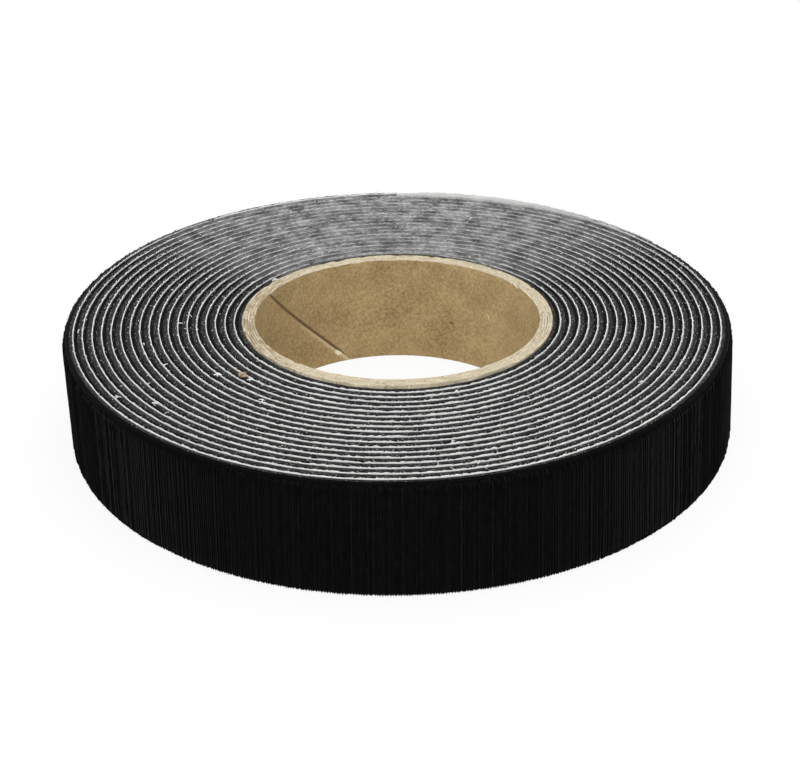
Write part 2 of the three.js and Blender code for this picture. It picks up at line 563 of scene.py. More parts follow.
@dataclass(frozen=True)
class Finish:
    """A finish: two colours mixed by shares of a cloud and a grain, stains on them, a roughness and a relief.

    The roughness is a range over the cloud, and the relief has the grain's height, a depth and a strength.
    """

    name: str
    dark: Colour
    light: Colour
    cloud: Pattern
    grain: Pattern
    roughness: Range
    relief: Range
    shares: Range = (0.5, 0.5)
    stains: tuple[Stain, ...] = ()
    # Whether the upper edge gets dust and a painted sheen at the back of the roll.
    has_dust_and_sheen: bool = False
    specular: float = 0.5
    sheen: float = 0.0
    sheen_roughness: float = 0.5
    gloss: float = 0.0

    def place(self, coat: Coat) -> Socket:
        """Coordinates that the patterns lie on."""
        return coat.surface()

    def tone(self, coat: Coat, cloud: Socket, grain: Socket) -> Socket:
        """How the two colours mix."""
        return coat.plus(coat.times(cloud, self.shares[0]), coat.times(grain, self.shares[1]))

    def plain(self, coat: Coat, cloud: Socket, grain: Socket) -> Socket:
        """Colour under the stains."""
        return coat.mix(self.tone(coat, cloud, grain), self.dark, self.light)

    def marked(self, coat: Coat, place: Socket, colour: Socket) -> Socket:
        """Colour over the stains."""
        return coat.with_dust_and_sheen(colour) if self.has_dust_and_sheen else colour

    def matt(self, cloud: Socket, grain: Socket) -> Socket:
        """Pattern that the roughness follows."""
        return cloud

    def height(self, coat: Coat, place: Socket, grain: Socket) -> Socket:
        """Height of the relief."""
        return grain

    def material(self) -> bpy.types.Material:
        """Builds the material.

        Returns:
            The finished material.
        """
        coat = Coat(self.name)
        coat.hold({"Specular IOR Level": self.specular, "Coat Weight": self.gloss})
        coat.hold({"Sheen Weight": self.sheen, "Sheen Roughness": self.sheen_roughness})
        place = self.place(coat)
        cloud = self.cloud.on(coat, place)
        grain = self.grain.on(coat, place)
        colour = self.plain(coat, cloud, grain)
        for stain in self.stains:
            colour = stain.on(coat, place, colour)
        roughness = coat.spread(self.matt(cloud, grain), 0.0, 1.0, *self.roughness)
        coat.feed(coat.shader.inputs["Base Color"], self.marked(coat, place, colour))
        coat.feed(coat.shader.inputs["Roughness"], roughness)
        coat.bump(self.height(coat, place, grain), *self.relief)
        return coat.material


@dataclass(frozen=True)
class Mark:
    """Spot on the core's bore: its place, half sizes and slant, and its colour."""

    azimuth: float
    height: float
    half_width: float
    half_height: float
    slant: float
    colour: Colour
    strength: float
    tear_scale: float = 2600.0
    tear_detail: float = 2.0
    tear_reach: float = 1.2
    rim: Range = (1.0, 0.6)

    def mask(self, coat: Coat, place: Socket, radius: float) -> Socket:
        """Finds where the spot covers the surface.

        Args:
            coat: the material being drawn up.
            place: coordinates along the surface.
            radius: the bore's radius.

        Returns:
            How strongly the spot covers.
        """
        inputs = {
            "Vector": place,
            "Location": (math.radians(self.azimuth) * radius * MM, self.height * MM, 0.0),
            "Rotation": (0.0, 0.0, math.radians(self.slant)),
            "Scale": (self.half_width * MM, self.half_height * MM, 1.0),
        }
        local = coat.add("ShaderNodeMapping", inputs, vector_type="TEXTURE").outputs[0]
        ragged = coat.centred_noise(place, self.tear_scale, self.tear_detail, self.azimuth)
        far = coat.plus(coat.length(local), coat.times(ragged, self.tear_reach))
        return coat.times(coat.spread(far, *self.rim), self.strength)


@dataclass(frozen=True)
class KraftFace(Finish):
    """Brown kraft board: cloudy and grainy, with dark and pale fibres, a torn seam with painted shade in its
    slit, a few spots and painted light on the right.
    """

    name: str = "kraft_face"
    dark: Colour = (0.2, 0.133, 0.053, 1.0)
    light: Colour = (0.565, 0.425, 0.218, 1.0)
    cloud: Pattern = Mottle(170.0, 0.22, 1.0)
    grain: Pattern = Mottle(2100.0, 0.2, 2.0)
    roughness: Range = (0.82, 0.95)
    relief: Range = (0.06, 0.7)
    shares: Range = (0.4, 0.6)
    stains: tuple[Stain, ...] = (
        Stain(Fibres(2400.0, 0.42, 3.0), (0.17, 0.105, 0.045, 1.0), 0.2),
        Stain(Fibres(1900.0, 0.42, 4.0), (0.72, 0.59, 0.38, 1.0), 0.14),
    )
    specular: float = 0.25
    # Painted light: the bore's wall is paler towards the right, where more light falls on it.
    painted_light_side: Range = (0.25, 0.95)
    painted_light_share: float = 0.26
    radius: float = 25.4
    tear_scale: float = 900.0
    tear_detail: float = 3.0
    tear_seed: float = 21.0
    tear_reach: float = 0.9
    # The lip is paler partly from torn kraft fibres and partly from a painted highlight where the raised lip
    # catches light.
    lip: Colour = (0.72, 0.59, 0.38, 1.0)
    lip_reach: Range = (1.6, 0.4)
    lip_heights: Range = (14.0, 3.0)
    lip_strength: float = 0.75
    # Painted shade in the seam's slit, where the gap falls in shadow.
    slit_shade: Colour = (0.12, 0.078, 0.032, 1.0)
    slit_shade_tear: float = 0.25
    slit_shade_reach: Range = (0.6, 0.12)
    slit_shade_heights: Range = (0.8, 2.6)
    slit_shade_strength: float = 0.9
    marks: tuple[Mark, ...] = (
        Mark(116.7, 1.9, 0.95, 0.5, 40.0, (0.88, 0.8, 0.6, 1.0), 1.0),
        Mark(426.0, 7.7, 0.5, 0.28, 20.0, (0.1, 0.06, 0.025, 1.0), 0.85),
        Mark(407.5, 10.9, 0.16, 1.3, -25.0, (0.76, 0.64, 0.44, 1.0), 0.7),
    )

    def tone(self, coat: Coat, cloud: Socket, grain: Socket) -> Socket:
        """How the two colours mix, with painted light making the bore paler on the right."""
        side = coat.spread(coat.sideways(), *self.painted_light_side, 0.0, self.painted_light_share)
        return coat.plus(super().tone(coat, cloud, grain), side)

    def marked(self, coat: Coat, place: Socket, colour: Socket) -> Socket:
        """Lightens the seam's torn lip, partly torn fibres and partly a painted highlight, paints shade in
        the slit beside it and adds the spots.

        Args:
            coat: the material being drawn up.
            place: coordinates along the surface.
            colour: the board's colour so far.

        Returns:
            The colour with the seam and the spots.
        """
        away = coat.attribute("seam")
        height = coat.split(place)[1]
        tear = coat.centred_noise(place, self.tear_scale, self.tear_detail, self.tear_seed)
        ragged = coat.times(tear, self.tear_reach * MM)
        # Paler torn fibres and a painted highlight along the lip.
        lip = self.band(coat, coat.plus(away, ragged), self.lip_reach, self.lip_strength)
        lip = coat.times(lip, self.band(coat, height, self.lip_heights))
        around = 2.0 * math.pi * self.radius * MM
        nearest = coat.math("MINIMUM", away, coat.minus(around, away))
        nearest = coat.plus(nearest, coat.times(ragged, self.slit_shade_tear))
        # Painted shade in the slit.
        slit_shade = self.band(coat, nearest, self.slit_shade_reach, self.slit_shade_strength)
        slit_shade = coat.times(slit_shade, self.band(coat, height, self.slit_shade_heights))
        colour = coat.mix(slit_shade, coat.mix(lip, colour, self.lip), self.slit_shade)
        for mark in self.marks:
            colour = coat.mix(mark.mask(coat, place, self.radius), colour, mark.colour)
        return colour

    @staticmethod
    def band(coat: Coat, far: Socket, ends: Range, strength: float = 1.0) -> Socket:
        """Rises from 0 to a strength between two distances in millimetres."""
        return coat.spread(far, ends[0] * MM, ends[1] * MM, 0.0, strength)

    def height(self, coat: Coat, place: Socket, grain: Socket) -> Socket:
        """Height of the relief, with the pale fibres on the grain."""
        return coat.plus(grain, self.stains[-1].pattern.on(coat, place))


@dataclass(frozen=True)
class CutBoard(Finish):
    """Pale cut end of the board: fine layers round the core, dark torn fibres and pale flecks."""

    name: str = "cut_board"
    dark: Colour = (0.38, 0.315, 0.21, 1.0)
    light: Colour = (0.76, 0.68, 0.515, 1.0)
    cloud: Pattern = Mottle(600.0, 0.22, 6.0)
    grain: Pattern = Mottle(1300.0, 0.22, 5.0, drawn_out=(0.3, 1.0, 2.4))
    roughness: Range = (0.88, 0.98)
    relief: Range = (0.1, 0.8)
    shares: Range = (0.45, 0.55)
    stains: tuple[Stain, ...] = (
        Stain(Fibres(1900.0, 0.5, 7.0), (0.2, 0.14, 0.075, 1.0), 0.5),
        Stain(Specks(1500.0, 0.3), (0.84, 0.79, 0.66, 1.0), 0.6),
    )
    specular: float = 0.2
    # Painted shade in the gaps between the board's layers, on the left of the ring.
    layer_shade: Colour = (0.28, 0.2, 0.105, 1.0)
    layer_shade_side: Range = (-0.5, -0.95)
    layer_shade_gaps: Range = (0.8, 0.2)
    layer_shade_strength: float = 0.75

    def plain(self, coat: Coat, cloud: Socket, grain: Socket) -> Socket:
        """Finds the colour under the stains, with painted shade between the layers on the left.

        Args:
            coat: the material being drawn up.
            cloud: the cloud's value.
            grain: the value of the layers.

        Returns:
            The colour with its painted shade streaks.
        """
        layers = coat.spread(grain, *self.layer_shade_gaps, 0.0, self.layer_shade_strength)
        layer_shade = coat.times(coat.spread(coat.sideways(), *self.layer_shade_side), layers)
        return coat.mix(layer_shade, super().plain(coat, cloud, grain), self.layer_shade)


@dataclass(frozen=True)
class CutYarn(Finish):
    """Knitted ground where the tape is slit: charcoal yarn with pale specks of cut ends."""

    name: str = "ground_knit"
    dark: Colour = (0.006, 0.0062, 0.0064, 1.0)
    light: Colour = (0.05, 0.051, 0.0505, 1.0)
    cloud: Pattern = Mottle(260.0, 0.25, 11.0)
    grain: Pattern = Mottle(1900.0, 0.22, 10.0)
    roughness: Range = (0.85, 0.98)
    relief: Range = (0.1, 0.8)
    shares: Range = (0.55, 1.0)
    stains: tuple[Stain, ...] = (Stain(Specks(3600.0, 0.26), (0.36, 0.365, 0.36, 1.0), 0.8),)
    # Dust and painted sheen on the upper edge at the back.
    has_dust_and_sheen: bool = True
    specular: float = 0.05

    def tone(self, coat: Coat, cloud: Socket, grain: Socket) -> Socket:
        """How the two colours mix, by a share of the grain that varies with the cloud."""
        return coat.times(grain, coat.spread(cloud, 0.0, 1.0, *self.shares))


@dataclass(frozen=True)
class LoopPile(CutYarn):
    """Black loop pile: deep black rows with a slightly worn tone between them, and a little lint."""

    name: str = "loop_pile"
    dark: Colour = (0.0005, 0.0006, 0.0005, 1.0)
    light: Colour = (0.0032, 0.0034, 0.0032, 1.0)
    cloud: Pattern = Mottle(900.0, 0.3, 9.0)
    grain: Pattern = Mottle(2400.0, 0.25, 8.0, drawn_out=(1.0, 0.25, 1.0))
    roughness: Range = (0.85, 1.0)
    relief: Range = (0.06, 0.6)
    shares: Range = (0.7, 1.0)
    stains: tuple[Stain, ...] = (Stain(Specks(1700.0, 0.05), (0.035, 0.035, 0.035, 1.0), 0.5),)
    specular: float = 0.02
    sheen: float = 0.06
    sheen_roughness: float = 0.4


@dataclass(frozen=True)
class LinerPaper(Finish):
    """White release paper with a faint cloud, a silicone gloss and fibres in its relief."""

    name: str = "liner_paper"
    dark: Colour = (0.87, 0.87, 0.855, 1.0)
    light: Colour = (0.95, 0.95, 0.935, 1.0)
    cloud: Pattern = Mottle(420.0, 0.25, 12.0)
    grain: Pattern = Fibres(1300.0, 0.4, 13.0)
    roughness: Range = (0.38, 0.6)
    relief: Range = (0.02, 0.4)
    shares: Range = (1.0, 0.0)
    # Dust and painted sheen on the upper edge at the back.
    has_dust_and_sheen: bool = True


@dataclass(frozen=True)
class AdhesiveFilm(Finish):
    """Tacky clear film on the fabric's back: dark, glossy, with the knit showing through."""

    name: str = "adhesive_film"
    dark: Colour = (0.03, 0.028, 0.025, 1.0)
    light: Colour = (0.085, 0.08, 0.07, 1.0)
    cloud: Pattern = Mottle(220.0, 0.25, 15.0)
    grain: Pattern = Mottle(1500.0, 0.25, 14.0)
    roughness: Range = (0.16, 0.34)
    relief: Range = (0.04, 0.5)
    gloss: float = 0.3


@dataclass(frozen=True)
class PaperLint(Finish):
    """Loose shreds and dust of paper or board."""

    name: str = "paper_lint"
    dark: Colour = (0.78, 0.78, 0.765, 1.0)
    light: Colour = (0.95, 0.95, 0.93, 1.0)
    cloud: Pattern = Mottle(900.0, 0.2, 16.0)
    grain: Pattern = Mottle(2500.0, 0.3, 17.0)
    roughness: Range = (0.8, 1.0)
    relief: Range = (0.03, 0.5)
    shares: Range = (1.0, 0.0)

    def place(self, coat: Coat) -> Socket:
        """Coordinates that the patterns lie on, which follow no strip."""
        return coat.own_place()

    def matt(self, cloud: Socket, grain: Socket) -> Socket:
        """Pattern that the roughness follows."""
        return grain


class Finishes:
    """Every finish of the roll, made once."""

    def __init__(self) -> None:
        """Builds the shared effects and then the materials."""
        Effects().build()
        tufts = CutYarn(
            "yarn_tufts", (0.05, 0.051, 0.051, 1.0), (0.26, 0.262, 0.26, 1.0),
            stains=(Stain(Specks(3600.0, 0.2), (0.6, 0.6, 0.59, 1.0), 0.8),),
        )
        crumb = PaperLint("board_crumb", (0.2, 0.135, 0.085, 1.0), (0.46, 0.35, 0.24, 1.0))
        self.kraft = KraftFace().material()
        self.cut_board = CutBoard().material()
        self.pile = LoopPile().material()
        self.ground = CutYarn().material()
        self.tufts = tufts.material()
        self.paper = LinerPaper().material()
        self.clean_paper = LinerPaper("tail_paper", has_dust_and_sheen=False).material()
        self.film = AdhesiveFilm().material()
        self.lint = PaperLint().material()
        self.crumb = crumb.material()


# Winding and what follows it


@dataclass(frozen=True)
class Swell:
    """Slow bulge of the roll: how often it comes round, how far it reaches and where it peaks."""

    count: int
    reach: float
    peak: float


@dataclass(frozen=True)
class Winding:
    """Path of the tape: level for most of a turn, then a smooth rise of one layer at the back of the roll."""

    seat_radius: float = 27.456
    pitch: float = 1.6735
    wraps: int = 19
    unlined_turns: float = 0.74
    rise_span: float = 80.0
    inner_end: float = 10.0
    wander: float = 0.05
    swells: tuple[Swell, ...] = (Swell(1, 0.29, -108.0), Swell(2, 0.45, 53.0), Swell(3, 0.28, 18.6))
    dent: float = 0.7
    dent_azimuth: float = 108.0
    splay: float = 0.95
    splay_azimuth: float = -40.0
    height: float = 20.4

    @property
    def tip_travel(self) -> float:
        """Travel at the tape's cut tip."""
        return self.wraps * FULL_TURN - self.rise_span

    @property
    def outer_radius(self) -> float:
        """Radius of the path in the outermost turn."""
        return self.seat_radius + (self.wraps - 1) * self.pitch

    def moved(self, depth: float) -> "Winding":
        """The same path moved outwards."""
        return replace(self, seat_radius=self.seat_radius + depth)

    def travel_of(self, length: float) -> float:
        """Travel that a length takes in the outermost turn."""
        return math.degrees(length / self.outer_radius)

    def length_of(self, start: float, end: float) -> float:
        """Length of the path between two travels, in millimetres."""
        middle = self.seat_radius + self.pitch * (start + end) / 2 / FULL_TURN
        return math.radians(end - start) * middle

    def travel_at(self, place: Point) -> float:
        """Finds the travel, in the last turn, at a place on the roll's outside.

        Args:
            place: a point in the frame.

        Returns:
            The travel in degrees.
        """
        azimuth = math.degrees(math.atan2(place[1], place[0]))
        tip_azimuth = self.inner_end - self.tip_travel
        return self.tip_travel - (azimuth - tip_azimuth) % FULL_TURN

    def inputs(self) -> dict[str, float]:
        """Gives the path's sizes to the geometry nodes.

        Returns:
            The inputs by name, in metres and radians.
        """
        values = {
            "Seat Radius": self.seat_radius * MM,
            "Pitch": self.pitch * MM,
            "Rise Span": math.radians(self.rise_span),
            "Inner End": math.radians(self.inner_end),
            "Layers": float(self.wraps - 1),
            "Wander": self.wander * MM,
            "Dent": self.dent * MM,
            "Dent Azimuth": math.radians(self.dent_azimuth),
            "Splay": self.splay * MM,
            "Splay Azimuth": math.radians(self.splay_azimuth),
            "Height": self.height * MM,
        }
        for swell in self.swells:
            values[f"Swell {swell.count}"] = swell.reach * MM
            values[f"Peak {swell.count}"] = math.radians(swell.peak)
        return values


PATH_INPUTS = floats(*Winding().inputs())


@dataclass
class Trees:
    """Geometry node trees that lay strips along the winding and set small shapes on it."""

    wander_scale: float = 1.3
    wander_detail: float = 1.0
    wander_seed: float = 4.0
    wander_gain: float = 4.0
    dent_fade: float = 3.0
    dent_narrowing: float = 2.0
    wedge_share: float = 0.4
    sway_detail: float = 2.0
    fray_detail: float = 3.0
    fray_roughness: float = 0.65
    fray_seed_step: float = 7.0
    pile_limit: float = 0.5
    relief_detail: float = 1.0

    def __post_init__(self) -> None:
        """Builds the trees once."""
        self.path = self.make_path()
        self.strip = self.make_strip()
        self.scatter = self.make_scatter()

    def make_path(self) -> bpy.types.NodeTree:
        """Finds the winding's radius and azimuth at a travel.

        Returns:
            The group, which also puts out the direction outwards.
        """
        outputs = {**floats("Radius", "Azimuth"), "Outwards": Kind.VECTOR}
        sheet = GeometrySheet("winding_path", {"Travel": Kind.FLOAT, **PATH_INPUTS}, outputs)
        given = sheet.given
        turn = math.radians(FULL_TURN)
        passed = sheet.plus(given["Travel"], given["Rise Span"])
        turns = sheet.math("FLOOR", sheet.over(passed, turn))
        into_turn = sheet.minus(passed, sheet.times(turns, turn))
        rise = sheet.spread(into_turn, 0.0, given["Rise Span"])
        layers = sheet.plus(sheet.minus(turns, 1.0), rise)
        azimuth = sheet.minus(given["Inner End"], given["Travel"])
        outwards = sheet.combine(sheet.math("COSINE", azimuth), sheet.math("SINE", azimuth))
        share = sheet.over(layers, given["Layers"])
        lifted = sheet.vector("ADD", outwards, sheet.combine(0.0, 0.0, share))
        uneven = sheet.centred_noise(lifted, self.wander_scale, self.wander_detail, self.wander_seed)
        bulge = sheet.times(uneven, self.wander_gain, given["Wander"])
        for swell in Winding().swells:
            past_peak = sheet.minus(azimuth, given[f"Peak {swell.count}"])
            wave = sheet.math("COSINE", sheet.times(past_peak, float(swell.count)))
            bulge = sheet.plus(bulge, sheet.times(wave, given[f"Swell {swell.count}"]))
        wound = sheet.times(layers, given["Pitch"])
        level = sheet.plus(given["Seat Radius"], wound, sheet.times(bulge, share))
        inner = sheet.math("POWER", sheet.minus(1.0, share), self.dent_fade)
        facing = sheet.math("COSINE", sheet.minus(azimuth, given["Dent Azimuth"]))
        facing = sheet.math("POWER", sheet.math("MAXIMUM", facing, 0.0), self.dent_narrowing)
        dent = sheet.times(inner, facing, given["Dent"])
        sheet.feed(sheet.result["Radius"], sheet.minus(level, dent))
        sheet.feed(sheet.result["Azimuth"], azimuth)
        sheet.feed(sheet.result["Outwards"], outwards)
        return sheet.tree

    def follow(self, sheet: GeometrySheet, travel: Socket) -> bpy.types.NodeOutputs:
        """Places the path at a travel, with the sheet's own path inputs, and returns its outputs."""
        inputs = {"Travel": travel, **{name: sheet.given[name] for name in PATH_INPUTS}}
        return sheet.add("GeometryNodeGroup", inputs, node_tree=self.path).outputs

    def make_strip(self) -> bpy.types.NodeTree:
        """Carries a cross-section along the winding, with edges that sway and fray.

        Returns:
            The tree.
        """
        sockets = {
            "Profile": Kind.OBJECT,
            "Path Steps": Kind.COUNT,
            **PATH_INPUTS,
            **floats("Start Travel", "End Travel", "Step Length", "Floor Radius", "Wedge"),
            **floats("Sway", "Sway Length", "Fray", "Fray Length", "Raise", "Raise Start", "Raise Span"),
            **floats("Drop", "Drop Start", "Drop Span", "Back Sink", "Seed"),
            "Edge Material": Kind.MATERIAL,
            "Pile Material": Kind.MATERIAL,
        }
        sheet = GeometrySheet("wound_strip", sockets, {"Geometry": Kind.GEOMETRY})
        given = sheet.given
        line = sheet.add("GeometryNodeCurvePrimitiveLine").outputs[0]
        inputs = {"Curve": line, "Count": given["Path Steps"]}
        curve = sheet.add("GeometryNodeResampleCurve", inputs, mode="COUNT").outputs[0]
        share = sheet.add("GeometryNodeSplineParameter").outputs["Factor"]
        travel = sheet.spread(share, 0.0, 1.0, given["Start Travel"], given["End Travel"], "LINEAR")
        curve = sheet.store(curve, "travel", travel)
        path = self.follow(sheet, sheet.named("travel"))
        curve = sheet.move(curve, Position=sheet.scaled(path["Outwards"], path["Radius"]))
        inputs = {"Curve": curve, "Length": given["Step Length"]}
        curve = sheet.add("GeometryNodeResampleCurve", inputs, mode="LENGTH").outputs[0]
        curve = sheet.store(curve, "along", sheet.add("GeometryNodeSplineParameter").outputs["Length"])
        curve = sheet.add("GeometryNodeSetCurveNormal", {"Curve": curve}, mode="Z_UP").outputs[0]
        section = sheet.add("GeometryNodeObjectInfo", {"Object": given["Profile"]}).outputs["Geometry"]
        section = sheet.add("GeometryNodeMeshToCurve", {"Mesh": section}).outputs[0]
        inputs = {"Curve": curve, "Profile Curve": section, "Fill Caps": True}
        mesh = sheet.add("GeometryNodeCurveToMesh", inputs).outputs[0]
        mesh = sheet.move(mesh, Offset=self.strip_offset(sheet))
        mesh = sheet.move(mesh, Offset=sheet.leaning())
        mesh = sheet.add("GeometryNodeRealizeInstances", {"Geometry": mesh}).outputs[0]
        mesh = sheet.finish(mesh, given["Edge Material"])
        is_pile = sheet.math("GREATER_THAN", sheet.named("pile"), self.pile_limit)
        mesh = sheet.finish(mesh, given["Pile Material"], is_pile)
        sheet.feed(sheet.result["Geometry"], mesh)
        return sheet.tree

    def strip_offset(self, sheet: GeometrySheet) -> Socket:
        """Finds how far a strip's points move: sway across the layers, fray and rise in height.

        Args:
            sheet: the strip's tree.

        Returns:
            The offset of each point.
        """
        given = sheet.given
        place = sheet.position()
        flat = sheet.vector("MULTIPLY", place, sheet.level)
        across = sheet.vector("NORMALIZE", flat)
        radius = sheet.length(flat)
        travel = sheet.named("travel")
        thinned = sheet.times(given["Wedge"], -1.0)
        kept_share = sheet.spread(travel, thinned, 0.0, 0.0, self.wedge_share)
        kept_depth = sheet.times(sheet.named("depth"), kept_share)
        least = sheet.plus(given["Floor Radius"], kept_depth)
        kept_off = sheet.minus(sheet.math("MAXIMUM", radius, least), radius)
        sway_scale = sheet.over(1.0, given["Sway Length"])
        fray_scale = sheet.over(1.0, given["Fray Length"])
        fray_seed = sheet.plus(given["Seed"], self.fray_seed_step)
        sway = sheet.centred_noise(place, sway_scale, self.sway_detail, given["Seed"])
        fray = sheet.centred_noise(place, fray_scale, self.fray_detail, fray_seed, self.fray_roughness)
        sway = sheet.times(sway, given["Sway"], sheet.named("sway"))
        fray = sheet.times(fray, given["Fray"], sheet.named("fray"))
        up_end = sheet.plus(given["Raise Start"], given["Raise Span"])
        down_end = sheet.plus(given["Drop Start"], given["Drop Span"])
        up = sheet.spread(travel, given["Raise Start"], up_end, 0.0, given["Raise"])
        down = sheet.spread(travel, given["Drop Start"], down_end, 0.0, given["Drop"])
        behind = sheet.math("MAXIMUM", sheet.split(across)[1], 0.0)
        down = sheet.plus(down, sheet.times(behind, given["Back Sink"]))
        proud = sheet.times(sheet.minus(up, down), sheet.named("raise"))
        aside = sheet.scaled(across, sheet.plus(sway, kept_off))
        return sheet.vector("ADD", aside, sheet.combine(0.0, 0.0, sheet.plus(fray, proud)))

    def make_scatter(self) -> bpy.types.NodeTree:
        """Sets small shapes along the winding, at random depths, heights, sizes and turns.

        Returns:
            The tree.
        """
        ranges = ("Size Low", "Size High", "Turn Low", "Turn High")
        sockets = {
            "Shape": Kind.OBJECT,
            "Count": Kind.COUNT,
            "Seed": Kind.COUNT,
            **PATH_INPUTS,
            **floats("Start Travel", "End Travel", "Crowding", "Jitter", "Depth Low", "Depth High"),
            **floats("Height Low", "Height High", "Lean", "Relief", "Relief Length"),
            **floats("Sector Middle", "Sector Limit"),
            **{name: Kind.VECTOR for name in ranges},
            "Material": Kind.MATERIAL,
        }
        sheet = GeometrySheet("set_along_winding", sockets, {"Geometry": Kind.GEOMETRY})
        given = sheet.given
        points = sheet.add("GeometryNodeMeshLine", {"Count": given["Count"]}).outputs[0]
        jitter = sheet.times(sheet.chance(0.0, 1.0, 1), given["Jitter"])
        cell = sheet.plus(sheet.add("GeometryNodeInputIndex").outputs[0], jitter)
        share = sheet.math("POWER", sheet.over(cell, given["Count"]), given["Crowding"])
        travel = sheet.spread(share, 0.0, 1.0, given["Start Travel"], given["End Travel"], "LINEAR")
        path = self.follow(sheet, travel)
        depth = sheet.chance(given["Depth Low"], given["Depth High"], 2)
        height = sheet.chance(given["Height Low"], given["Height High"], 3)
        flat = sheet.scaled(path["Outwards"], sheet.plus(path["Radius"], depth))
        points = sheet.store(points, "along", sheet.times(travel, path["Radius"]))
        place = sheet.vector("ADD", flat, sheet.combine(0.0, 0.0, height))
        points = sheet.move(points, Position=place)
        shape = sheet.add("GeometryNodeObjectInfo", {"Object": given["Shape"]}).outputs["Geometry"]
        size = sheet.chance_vector(given["Size Low"], given["Size High"], 4)
        turn = sheet.chance_vector(given["Turn Low"], given["Turn High"], 5)
        facing = sheet.combine(0.0, given["Lean"], path["Azimuth"])
        inputs = {"Points": points, "Instance": shape, "Rotation": facing, "Scale": size}
        made = sheet.add("GeometryNodeInstanceOnPoints", inputs).outputs[0]
        past_middle = sheet.minus(path["Azimuth"], given["Sector Middle"])
        aside = sheet.math("LESS_THAN", sheet.math("COSINE", past_middle), given["Sector Limit"])
        inputs = {"Geometry": made, "Selection": aside}
        made = sheet.add("GeometryNodeDeleteGeometry", inputs, domain="INSTANCE").outputs[0]
        inputs = {"Instances": made, "Rotation": turn, "Local Space": True}
        made = sheet.add("GeometryNodeRotateInstances", inputs).outputs[0]
        made = sheet.add("GeometryNodeRealizeInstances", {"Geometry": made}).outputs[0]
        here = sheet.position()
        scale = sheet.over(1.0, given["Relief Length"])
        rough = sheet.noise(here, scale, self.relief_detail, given["Seed"]).outputs[1]
        uneven = sheet.vector("SUBTRACT", rough, (NOISE_MIDDLE, NOISE_MIDDLE, NOISE_MIDDLE))
        made = sheet.move(made, Offset=sheet.scaled(uneven, given["Relief"]))
        made = sheet.move(made, Offset=sheet.leaning())
        sheet.feed(sheet.result["Geometry"], sheet.finish(made, given["Material"]))
        return sheet.tree


# Meshes


def mesh_object(name: str, vertices: Any, faces: Any, edges: Any = ()) -> bpy.types.Object:
    """Makes a mesh object at the origin.

    Args:
        name: the object's name.
        vertices: points in metres.
        faces: vertex numbers of each face.
        edges: vertex numbers of loose edges.

    Returns:
        The object, linked to the scene.
    """
    mesh = bpy.data.meshes.new(name)
    mesh.from_pydata([tuple(v) for v in vertices], list(edges), [tuple(f) for f in faces])
    mesh.update()
    made = bpy.data.objects.new(name, mesh)
    bpy.context.scene.collection.objects.link(made)
    return made


def keep_values(piece: bpy.types.Object, name: str, values: list[float]) -> None:
    """Stores a number for each point of a mesh under a name."""
    layer = piece.data.attributes.new(name, "FLOAT", "POINT")
    layer.data.foreach_set("value", np.array(values, np.float32))


def grow(name: str, tree: bpy.types.NodeTree, values: dict[str, Any]) -> bpy.types.Object:
    """Runs a geometry node tree and keeps its result as a plain mesh.

    Args:
        name: the piece's name.
        tree: the tree to run.
        values: the tree's inputs, by name.

    Returns:
        The piece, at the origin, with no modifier.
    """
    seed = mesh_object(name + "_growing", [], [])
    modifier = seed.modifiers.new("grow", "NODES")
    modifier.node_group = tree
    for item in tree.interface.items_tree:
        if item.item_type == "SOCKET" and item.in_out == "INPUT" and item.name in values:
            modifier[item.identifier] = values[item.name]
    graph = bpy.context.evaluated_depsgraph_get()
    grown = seed.evaluated_get(graph)
    mesh = bpy.data.meshes.new_from_object(grown, preserve_all_data_layers=True, depsgraph=graph)
    mesh.name = name
    seed.modifiers.remove(modifier)
    bpy.data.objects.remove(seed)
    made = bpy.data.objects.new(name, mesh)
    bpy.context.scene.collection.objects.link(made)
    return made


def face_outwards(piece: bpy.types.Object) -> None:
    """Turns the faces of closed shells outwards and shades them smooth up to the smooth angle.

    Args:
        piece: the mesh to turn.
    """
    shell = bmesh.new()
    shell.from_mesh(piece.data)
    bmesh.ops.recalc_face_normals(shell, faces=shell.faces)
    shell.to_mesh(piece.data)
    shell.free()
    piece.data.shade_smooth()
    piece.data.set_sharp_from_angle(angle=SMOOTH_ANGLE)


def ringed(name: str, rings: list[list[Vector]]) -> bpy.types.Object:
    """Joins rings of points into one closed shape with flat ends.

    Args:
        name: the object's name.
        rings: the rings in order, each with as many points, in millimetres.

    Returns:
        The shape.
    """
    sides = len(rings[0])
    vertices = [place * MM for ring in rings for place in ring]
    faces = []
    for index in range(len(rings) - 1):
        for step in range(sides):
            here = index * sides + step
            beside = index * sides + (step + 1) % sides
            faces.append((here, beside, beside + sides, here + sides))
    faces.append(tuple(range(sides)))
    faces.append(tuple(range(len(vertices) - sides, len(vertices))))
    made = mesh_object(name, vertices, faces)
    face_outwards(made)
    return made


def tube(name: str, points: list[Point], radius: float, sides: int) -> bpy.types.Object:
    """Makes a closed thin tube, used as a shape to repeat.

    Args:
        name: the object's name.
        points: the tube's middle line in millimetres.
        radius: its radius.
        sides: number of sides.

    Returns:
        The tube.
    """
    line = [Vector(p) for p in points]
    rings = []
    for index, place in enumerate(line):
        ahead = line[min(index + 1, len(line) - 1)] - line[max(index - 1, 0)]
        side = ahead.cross(Vector((0.0, 1.0, 0.0))).normalized()
        other = ahead.cross(side).normalized()
        angles = [2.0 * math.pi * step / sides for step in range(sides)]
        rings.append([place + (side * math.cos(a) + other * math.sin(a)) * radius for a in angles])
    return ringed(name, rings)


